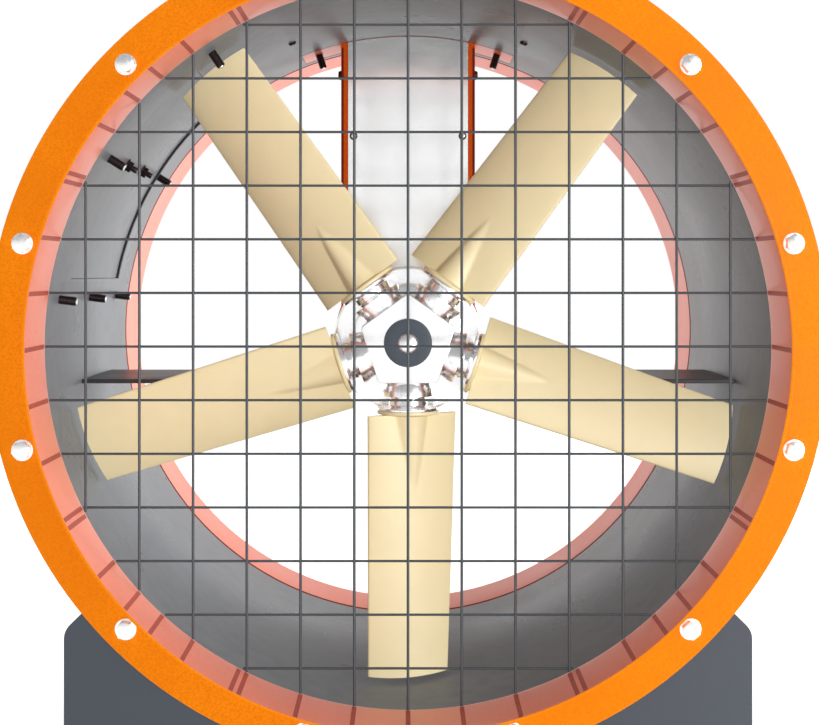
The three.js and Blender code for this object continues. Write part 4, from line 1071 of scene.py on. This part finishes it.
def impeller():
    """On a blade local Z runs out along its axis and local X to its leading edge."""
    hub_halves()
    hub_fastening()
    shaft()
    foot_ease = 0.45
    foot = eased(scaled(FOOT_SHARES, FOOT_RADIUS, FOOT_START, FOOT_END), foot_ease)
    for index, angle in enumerate(BLADE_ANGLES, 1):
        body = f"blade_{index}"
        at = placed(0, HUB_PLANE, 0) @ facing(angle)
        mesh = bmesh.new()
        turned(mesh, foot, at, 72)
        make(f"foot_of_blade_{index}", mesh, "chrome", [f"blade_foot_{index}"], body)
        mesh = bmesh.new()
        blade(mesh, at)
        make(f"moulded_blade_{index}", mesh, "blade", [f"blade_{index}"], body, sharp=50)


# Belt drive


def pulley(name, node, body, bore):
    """Both faces have a recess between the rim and the boss, and two grooves run round the outside."""
    low, high = span(node, Y)
    middle, outer = (low + high) / 2, half_width(node)
    rim, boss, recess, slope = 8, 14, 4, 1
    groove_half, floor_half, groove_depth, groove_place, ease = 6.6, 3.6, 9.5, 7.5, 0.4
    face = [(bore, 0), (outer - boss, 0), (outer - boss + slope, recess), (outer - rim - slope, recess),
            (outer - rim, 0), (outer, 0)]
    groove = [(outer, -groove_half), (outer - groove_depth, -floor_half), (outer - groove_depth, floor_half),
              (outer, groove_half)]
    outline = [(radius, low + depth) for radius, depth in face]
    for side in SIDES:
        outline += [(radius, middle + side * groove_place + y) for radius, y in groove]
    outline += [(radius, high - depth) for radius, depth in reversed(face)]
    mesh = bmesh.new()
    turned(mesh, eased(outline, ease), placed(0, 0, middle_of(node, Z)) @ ALONG_Y)
    make(name, mesh, "machined", [node], body)


def belt(index, node):
    """A V-belt round both pulleys, baked into the CAD model's frame without a body to ride on."""
    low, high = span(node, Y)
    middle = (low + high) / 2
    depth, foot, half = 8, 3.75, (high - low) / 2
    lower, upper = half_width("driven_pulley"), half_width("drive_pulley")
    lean = math.asin((lower - upper) / MOTOR_AXIS)
    section = [(0, -half), (0, half), (-depth, foot), (-depth, -foot)]
    steps = 40
    mesh = bmesh.new()
    rings = []
    for radius, height, start, turn in ((upper, MOTOR_AXIS, lean, math.pi - 2 * lean),
                                        (lower, 0, math.pi - lean, math.pi + 2 * lean)):
        for angle in [start + turn * step / steps for step in range(steps + 1)]:
            rings.append(ring(mesh, [((radius + out) * math.cos(angle), middle + y,
                                      height + (radius + out) * math.sin(angle)) for out, y in section]))
    skin(mesh, rings, closed=True)
    piece = make(f"belt_{index}", mesh, "rubber", [node], None, sharp=30)
    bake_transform(piece)


def keyhole(inset, top=None):
    """The housing's outline drawn in by an inset, closed by its round top or an arc about the fan axis."""
    drum = HOUSING_DRUM - inset
    half = HOUSING_HALF - inset
    meeting = math.degrees(math.atan2(math.sqrt(max(0.0, drum * drum - half * half)), half))
    points = arc((0, 0), drum, 180 - meeting, 360 + meeting, 72)
    if top is None:
        return points + arc((0, MOTOR_AXIS), half, 0, 180, 60)
    corner = math.degrees(math.acos(half / top))
    return points + arc((0, 0), top, corner, 180 - corner, 24)


def belt_tunnel():
    """A sheet housing, open towards the inlet below the wall, with a slot for the motor's shaft above it."""
    lip, slot_half, shade_depth = 21, 18, 3
    mesh, cavity, mouth, slot = bmesh.new(), bmesh.new(), bmesh.new(), bmesh.new()
    inner = HOUSING_FRONT + HOUSING_SHEET
    upright_prism(mesh, keyhole(0), HOUSING_FRONT, HOUSING_REAR)
    upright_prism(cavity, keyhole(HOUSING_SHEET), inner, HOUSING_REAR - HOUSING_SHEET)
    upright_prism(mouth, keyhole(lip, BORE - lip), HOUSING_FRONT - OVERRUN, inner + OVERRUN)
    slot_outline = arc((0, MOTOR_AXIS + MOTOR_UP), slot_half, 0, 180, 24)
    slot_outline += arc((0, MOTOR_AXIS + MOTOR_DOWN), slot_half, 180, 360, 24)
    upright_prism(slot, slot_outline, HOUSING_FRONT - OVERRUN, inner + OVERRUN)
    # Painted shade: the front lip, in front of the panel, takes the darkened orange.
    edge = (PANEL_FRONT + PANEL_REAR) / 2 + shade_depth
    painted_shade_lip = ("orange_painted_shade", lambda centre: radius_of(centre) < BORE and centre.y < edge)
    make("belt_tunnel", mesh, "orange", ["belt_housing"], cutters=[cavity, mouth, slot], areas=[painted_shade_lip],
         bevel=FINE_BEVEL)


def tunnel_panel():
    inset, wall_gap, hole_radius, bevel = 7.3, 0.4, 17, 0.3
    mesh, hole = bmesh.new(), bmesh.new()
    upright_prism(mesh, keyhole(inset, BORE - wall_gap), PANEL_FRONT, PANEL_REAR)
    rod(hole, hole_radius, PANEL_FRONT - OVERRUN, PANEL_REAR + OVERRUN, ALONG_Y, 48)
    make("tunnel_panel", mesh, "panel", ["belt_housing_panel"], cutters=[hole], bevel=bevel)
    mesh, seals = bmesh.new(), bmesh.new()
    spacing, upper, lower, face = 57.8, 208.9, 78, -PANEL_FRONT
    seal_hole, seal, seal_height, lift = 2.3, 4.2, 1.2, 1
    for x, z in ((-spacing, upper), (spacing, upper), (-spacing, lower), (spacing, lower)):
        at = placed(x, 0, z) @ TO_FRONT
        domed_screw(mesh, at, face + lift, PANEL_SCREW)
        washer(seals, seal_hole, seal, face, face + seal_height, at)
    make("panel_screws", mesh, "zinc")
    make("panel_seals", seals, "rubber")


def tunnel_trim():
    """Two screws in each side of the housing, and a dark strip of painted shade at each side's front edge.
    """
    upper, lower, from_edge = 275, 120, 12
    width, depth, below_wall = 2.6, 0.5, 12
    mesh, edges = bmesh.new(), bmesh.new()
    for side in SIDES:
        for z in (upper, lower):
            turn = Matrix.Rotation(side * math.pi / 2, 4, "Y")
            at = placed(side * HOUSING_HALF, HOUSING_FRONT + from_edge, z) @ turn
            domed_screw(mesh, at, 0, HOUSING_SCREW)
        # Painted shade: a dark strip along the front edge of each side's sheet.
        wide = sorted((side * (HOUSING_HALF - width), side * HOUSING_HALF))
        deep = (HOUSING_FRONT - GAP, HOUSING_FRONT + depth)
        block(edges, wide, deep, (HOUSING_HALF / 2, BORE - below_wall))
    make("housing_screws", mesh, "black_bolt")
    make("housing_painted_shade_edges", edges, "seam")


def belt_drive():
    fan_bore, motor_bore = 15.3, 12.3
    pulley("fan_pulley", "driven_pulley", "impeller", fan_bore)
    pulley("motor_pulley", "drive_pulley", "rotor", motor_bore)
    belt(1, "v_belt_front")
    belt(2, "v_belt_rear")
    belt_tunnel()
    tunnel_panel()
    tunnel_trim()


# Motor stand


def wall_screw(mesh, place):
    domed_screw(mesh, inward(*place), -BORE, CASING_SCREW)


def stand_saddle():
    half_angle, coat_reach = 30, 0.5
    outer = COVER_INNER + SHEET
    clear = HOUSING_HALF + GAP
    mesh, hole = bmesh.new(), bmesh.new()
    sector(mesh, COVER_INNER, outer, STAND_FRONT, STAND_REAR, 90, half_angle, 90)
    block(hole, (-clear, clear), (HOUSING_FRONT - GAP, HOUSING_REAR + GAP), (BORE / 2, STAND_TOP))
    # The underside that shows through the slot takes the pale painted sheen.
    underside = ("gloss_coat", lambda centre: radius_of(centre) < COVER_INNER + coat_reach)
    make("stand_saddle", mesh, "orange", ["motor_stand"], cutters=[hole], areas=[underside])


def slot_sheen_and_rim():
    """The saddle's smooth coat through the slot, painted pale as a painted sheen, with a darker front rim.
    """
    housing_gap, slot_gap, end_gap, rim_width, lap = 1, 0.4, 0.5, 4, 0.2
    front, rear = SLOT_FRONT + end_gap, SLOT_REAR - end_gap
    near = math.degrees(math.acos((HOUSING_HALF + housing_gap) / BORE))
    far = math.degrees(math.acos((SLOT_HALF - slot_gap) / BORE))
    middle, half = (near + far) / 2, (near - far) / 2
    lining, rim = bmesh.new(), bmesh.new()
    for angle in (middle, 180 - middle):
        sector(lining, BORE + GAP, COVER_INNER + lap, front + rim_width, rear, angle, half, 12)
        sector(rim, BORE + lap, COVER_INNER + lap, front, front + rim_width, angle, half, 12)
    make("slot_lining", lining, "gloss_coat")
    make("slot_rim", rim, "seam")


def stand_webs():
    inner, outer, lip, sunk = 98, 102, 125, 3
    length = (STAND_FRONT, STUD_FRONT + STUD_PITCH + STUD_MARGIN)
    start = math.sqrt((COVER_INNER + SHEET) ** 2 - outer ** 2) - sunk
    mesh = bmesh.new()
    for side in SIDES:
        block(mesh, sorted((side * inner, side * outer)), length, (start, STAND_TOP))
        block(mesh, sorted((side * inner, side * lip)), length, (STAND_TOP - SHEET, STAND_TOP))
    make("stand_webs", mesh, "orange", bevel=BEVEL)


def stand_fasteners():
    below, nut_top = 16, STAND_TOP - SHEET
    mesh = bmesh.new()
    for x, y in STUDS:
        at = placed(x, y, 0)
        threaded_end(mesh, M12.radius, STAND_TOP - below, STAND_TOP + STUD_RISE, at, M12.pitch)
        hexagon_part(mesh, M12.across, nut_top - M12.nut, nut_top, at, True, M12.bore)
    make("stand_studs", mesh, "zinc")
    bolt_angle, screw_angle, screw_plane = 17.8, 21.5, 2
    bolts = [(90 + side * bolt_angle, BELT_PLANE) for side in SIDES]
    make("saddle_bolts", pieces_of(bolts, wall_bolt, COVER_INNER + SHEET), "black_bolt")
    make("saddle_bolt_tips", pieces_of(bolts, bright_tip), "steel")
    screws = [(90 + side * screw_angle, screw_plane) for side in SIDES]
    make("casing_screws", pieces_of(screws, wall_screw), "black_bolt")


def motor_plate():
    low, high = span("motor_plate", Z)
    half, hole, jam_nut = half_width("motor_plate"), 6.5, 4.5
    mesh, holes, nuts = bmesh.new(), bmesh.new(), bmesh.new()
    block(mesh, (-half, half), span("motor_plate", Y), (low, high))
    thread = M12._replace(washer_bore=hole)
    seat = low - thread.washer_height
    for x, y in STUDS:
        at = placed(x, y, 0)
        rod(holes, hole, low - OVERRUN, high + OVERRUN, at, 24)
        seated(nuts, at, thread, high, nut=True)
        washer(nuts, hole, thread.washer, seat, low, at)
        hexagon_part(nuts, thread.across, seat - jam_nut, seat, at, True, thread.bore)
    make("plate_of_motor", mesh, "slate", ["motor_plate"], "motor_base", cutters=[holes], bevel=BEVEL)
    make("plate_nuts", nuts, "zinc", body="motor_base")


# Motor

ON_MOTOR_AXIS = placed(0, 0, MOTOR_AXIS) @ ALONG_Y
END_RADIUS = half_width("motor_drive_shield")


def on_motor(radius, angle):
    """Local Z runs back along the motor from a place on a circle about its axis."""
    x, z = on_circle(radius, angle)
    return placed(x, 0, z + MOTOR_AXIS) @ ALONG_Y


def finned_barrel(mesh, bore):
    fins, root, tip, from_end = 40, 76, 88, 8
    root_half, shoulder_half, tip_half, shoulder = 2.1, 0.95, 0.6, 0.7
    fin = [(root, -root_half), (tip - shoulder, -shoulder_half), (tip, -tip_half)]
    fin += [(radius, -offset) for radius, offset in reversed(fin)]
    outline, inside = [], []
    for index in range(fins):
        middle = 360 * (index + 0.5) / fins
        outline += [on_circle(radius, middle + offset) for radius, offset in fin]
        inside += [on_circle(bore, middle + offset) for radius, offset in fin]
    front, rear = MOTOR_FRONT + from_end, MOTOR_REAR - from_end
    bands = ((outline, front), (outline, rear), (inside, rear), (inside, front))
    rings = [ring(mesh, [(x, y, z + MOTOR_AXIS) for x, z in points]) for points, y in bands]
    skin(mesh, rings, closed=True)


def motor_frame():
    """A finned barrel between two plain ends, on two feet and with a pad for the terminal box."""
    bore, end_depth, ease = 46, 10, 1.2
    mesh = bmesh.new()
    finned_barrel(mesh, bore)
    for start in (MOTOR_FRONT, MOTOR_REAR - end_depth):
        outline = rectangle(bore, END_RADIUS, start, start + end_depth)
        turned(mesh, eased(outline, ease), ON_MOTOR_AXIS)
    floor, from_end = span("motor_frame", Z)[0], 25
    feet = (MOTOR_FRONT + from_end, MOTOR_REAR - from_end)
    leg_inner, leg_outer, foot_inner, foot_outer = 45, 60, 52, half_width("motor_frame")
    foot_height, leg_drop = 9, 50
    for side in SIDES:
        block(mesh, sorted((side * leg_inner, side * leg_outer)), feet, (floor, MOTOR_AXIS - leg_drop))
        block(mesh, sorted((side * foot_inner, side * foot_outer)), feet, (floor, floor + foot_height))
    pad_half, pad_depth, pad_shift, pad_rise = 45, 84, 21, 60
    pad_front = MOTOR_FRONT / 2 - pad_shift
    pad_height = (MOTOR_AXIS + pad_rise, span("motor_frame", Z)[1])
    block(mesh, (-pad_half, pad_half), (pad_front, pad_front + pad_depth), pad_height)
    make("frame_casting", mesh, "motor", ["motor_frame"], "motor_base", bevel=FINE_BEVEL)
    motor_foot_bolts(floor, foot_height, feet)


def motor_foot_bolts(floor, foot_height, feet):
    spacing, from_end, reach = 80, 14, 16
    seat = floor + foot_height
    mesh = bmesh.new()
    for side in SIDES:
        for y in (feet[0] + from_end, feet[1] - from_end):
            at = placed(side * spacing, y, 0)
            seated(mesh, at, M10, seat)
            threaded_end(mesh, M10.radius, floor - reach, seat, at, M10.pitch)
    make("motor_foot_bolts", mesh, "zinc", body="motor_base")


def drive_shield():
    start, end = span("motor_drive_shield", Y)
    bore, boss, boss_foot, groove, flat, edge = 12.4, 26, 27, (34, 52), 60, 74
    boss_height, recess, ease = 8, 5, 1.2
    step = end - boss_height
    rim = step - recess
    outline = [(bore, start), (END_RADIUS, start), (END_RADIUS, rim), (edge, step), (flat, step),
               (groove[1], rim), (groove[0], rim), (boss_foot, step), (boss, end), (bore, end)]
    mesh = bmesh.new()
    turned(mesh, eased(outline, ease), ON_MOTOR_AXIS)
    make("drive_end_shield", mesh, "motor", ["motor_drive_shield"], "motor_base")
    screw_circle, across, height = 67, M6.across, 4.5
    mesh = bmesh.new()
    for angle in (45, 135, 225, 315):
        hexagon_part(mesh, across, step, step + height, on_motor(screw_circle, angle))
    make("shield_screws", mesh, "zinc", body="motor_base")


def fan_cowl():
    """A cap with a sloping shoulder and four rings of round vents."""
    front, rear = span("motor_fan_cowl", Y)
    face, shoulder, shoulder_depth, side_depth = 66, 77, 4, 12
    wall, inner_shoulder, inner_depth, sheet, ease = 1.8, 75.5, 5.6, 2, 0.5
    inner = END_RADIUS - wall
    side = front + side_depth
    outline = [(0, front), (face, front), (shoulder, front + shoulder_depth), (END_RADIUS, side),
               (END_RADIUS, rear), (inner, rear), (inner, side), (inner_shoulder, front + inner_depth),
               (face, front + sheet), (0, front + sheet)]
    mesh, vents = bmesh.new(), bmesh.new()
    turned(mesh, eased(outline, ease), ON_MOTOR_AXIS)
    vent = 3.9
    for circle, count in ((26, 10), (38, 14), (50, 18), (61, 22)):
        for index in range(count):
            at = on_motor(circle, 360 * (index + 0.5) / count)
            rod(vents, vent, front - OVERRUN, front + OVERRUN, at, 12)
    make("fan_cowl", mesh, "motor", ["motor_fan_cowl"], "motor_base", cutters=[vents])


def motor_rotor():
    low, high = span("motor_rotor", Y)
    radius, core, core_half, fan_room, shift, ease = 12, 43, 50, 10, 5, 0.8
    start, middle = low + fan_room, (MOTOR_FRONT + MOTOR_REAR) / 2 + shift
    outline = [(0, start), (radius, start), (radius, middle - core_half), (core, middle - core_half),
               (core, middle + core_half), (radius, middle + core_half), (radius, high), (0, high)]
    mesh = bmesh.new()
    turned(mesh, eased(outline, ease), ON_MOTOR_AXIS, 64)
    make("rotor_shaft", mesh, "steel", ["motor_rotor"], "rotor")
    boss, disc, disc_start, disc_edge, disc_back, fan_ease = 18, 64, 15, 17, 19.5, 0.6
    outline = [(radius, low), (boss, low), (boss, low + disc_start), (disc, low + disc_edge),
               (disc, low + disc_back), (radius, low + disc_back)]
    vanes, vane_half, vane_start, vane_end, vane_reach = 9, 1.3, 1, 18, (17, 62)
    mesh = bmesh.new()
    turned(mesh, eased(outline, fan_ease), ON_MOTOR_AXIS, 64)
    for index in range(vanes):
        at = placed(0, 0, MOTOR_AXIS) @ Matrix.Rotation(2 * math.pi * index / vanes, 4, "Y")
        block(mesh, (-vane_half, vane_half), (low + vane_start, low + vane_end), vane_reach, at)
    make("cooling_fan", mesh, "plastic", body="rotor")


def terminal_box():
    """A box under an overhanging lid with four screws, and a cable gland in its side."""
    low, high = span("terminal_box", Z)
    front, rear = span("terminal_box", Y)
    half = half_width("terminal_box")
    overhang, lid, lid_gap, from_corner, bevel = 2, 8.6, 0.4, 9, 2.2
    mesh = bmesh.new()
    block(mesh, (overhang - half, half - overhang), (front + overhang, rear - overhang),
          (low, high - lid - lid_gap))
    block(mesh, (-half, half), (front, rear), (high - lid, high))
    make("connection_box", mesh, "motor", ["terminal_box"], "motor_base", bevel=bevel)
    mesh = bmesh.new()
    for x in (from_corner - half, half - from_corner):
        for y in (front + from_corner, rear - from_corner):
            domed_screw(mesh, placed(x, y, 0), high, BOX_SCREW)
    make("box_screws", mesh, "zinc", body="motor_base")
    across, nut, length, gland_height, cap, ease = 22, 6, 22, 14, 10.6, 0.5
    cap_shares = [(0, 0), (0.8491, 0), (0.8491, 0.1875), (1, 0.25), (1, 0.75), (0.8113, 1), (0.4717, 1),
                  (0.4717, 0.5), (0, 0.5)]
    mesh = bmesh.new()
    turn = Matrix.Rotation(math.pi / 2, 4, "Y")
    at = placed(half - overhang, (front + rear) / 2, low + gland_height) @ turn
    hexagon_part(mesh, across, 0, nut, at)
    turned(mesh, eased(scaled(cap_shares, cap, nut, length), ease), at, 32)
    make("cable_gland", mesh, "plastic", body="motor_base")


def motor():
    stand_saddle()
    slot_sheen_and_rim()
    stand_webs()
    stand_fasteners()
    motor_plate()
    motor_frame()
    drive_shield()
    fan_cowl()
    motor_rotor()
    terminal_box()


# Camera, light and surroundings: places are metres in the CAD model's frame

LAMPS = (
    ("key_light", (4.5, -6.2, 0.8), 2.2, 400, False),
    ("rear_light_right", (2.6, 2.2, 0.5), 1.4, 110, True),
    ("rear_light_left", (-2.6, 2.2, 0.5), 1.4, 25, True),
)
LAMP_TARGET = (0, 0, 0.4)
WORLD_STRENGTH = 0.5
FLOOR_GLOW = 0.62
CEILING_SHADE = 0.45


def camera():
    distance, above_axis = 1.423, 0.065
    data = bpy.data.cameras.new("camera")
    data.sensor_width = 36
    data.lens = 62.82
    data.shift_x = 0.0018
    data.shift_y = -0.111
    data.clip_start = 0.05
    viewer = new_object("camera", data)
    viewer.location = (0, -distance, AXIS_HEIGHT * MM + above_axis)
    viewer.rotation_euler = (math.pi / 2, 0, 0)
    bpy.context.scene.camera = viewer


def world():
    """White behind the object. Reflections see a darker ceiling, and the light on the object is plain."""
    studio = bpy.data.worlds.new("studio")
    bpy.context.scene.world = studio
    nodes = Nodes(studio, "Background", "Generated")
    height = nodes.add("ShaderNodeSeparateXYZ", {0: nodes.place}).outputs["Z"]
    ceiling = nodes.ranged(height, 1, CEILING_SHADE, 0.1, 0.2, "LINEAR")
    camera_rays, mirrored_rays = nodes.seen()
    strength = nodes.ranged(mirrored_rays, WORLD_STRENGTH, ceiling, 0, 1, "LINEAR")
    shown = nodes.computed("MAXIMUM", strength, camera_rays)
    nodes.feed(nodes.shader, {"Strength": shown, "Color": (1, 1, 1, 1)})


def floor():
    """A wide pale slab whose glow makes it white, and which keeps the object's shadow."""
    reach, top_gap, thickness, tone = 6000, 0.1, 20, 0.9
    mesh = bmesh.new()
    height = (-AXIS_HEIGHT - thickness, -AXIS_HEIGHT - top_gap)
    block(mesh, (-reach, reach), (-reach, reach), height)
    nodes = new_material("floor")
    camera_rays, mirrored_rays = nodes.seen()
    glow = nodes.computed("MULTIPLY", nodes.computed("MAXIMUM", mirrored_rays, camera_rays), FLOOR_GLOW)
    nodes.feed(nodes.shader, {"Base Color": (tone, tone, tone, 1), "Roughness": 0.9,
                              "Emission Color": (1, 1, 1, 1), "Emission Strength": glow})
    data = mesh_data("floor", mesh)
    data.materials.append(nodes.owner)
    new_object("floor", data)


def lamps():
    for name, place, size, energy, shadow in LAMPS:
        data = bpy.data.lights.new(name, "AREA")
        data.size = size
        data.energy = energy
        data.use_shadow = shadow
        lamp = new_object(name, data)
        lamp.location = place
        aim = Vector(LAMP_TARGET) - Vector(place)
        lamp.rotation_euler = aim.to_track_quat("-Z", "Y").to_euler()


def stage():
    bpy.context.scene.view_settings.view_transform = "Standard"
    camera()
    world()
    floor()
    lamps()


def plain_nodes():
    """CAD nodes that keep their own shape take their finish here."""
    chosen = {slot: finish for finish, slot in SLOTS.items()}
    slots = {part["node"]: part["material_slot"] for part in frame["record"]["subparts"]}
    for name, node in frame["nodes"].items():
        material = FINISH[chosen[slots[name]]]
        if node.material_slots:
            for slot in node.material_slots:
                slot.material = material
        else:
            node.data.materials.append(material)


stage()
plain_nodes()
casing()
flange_bolts()
base()
access()
bearings()
impeller()
belt_drive()
motor()
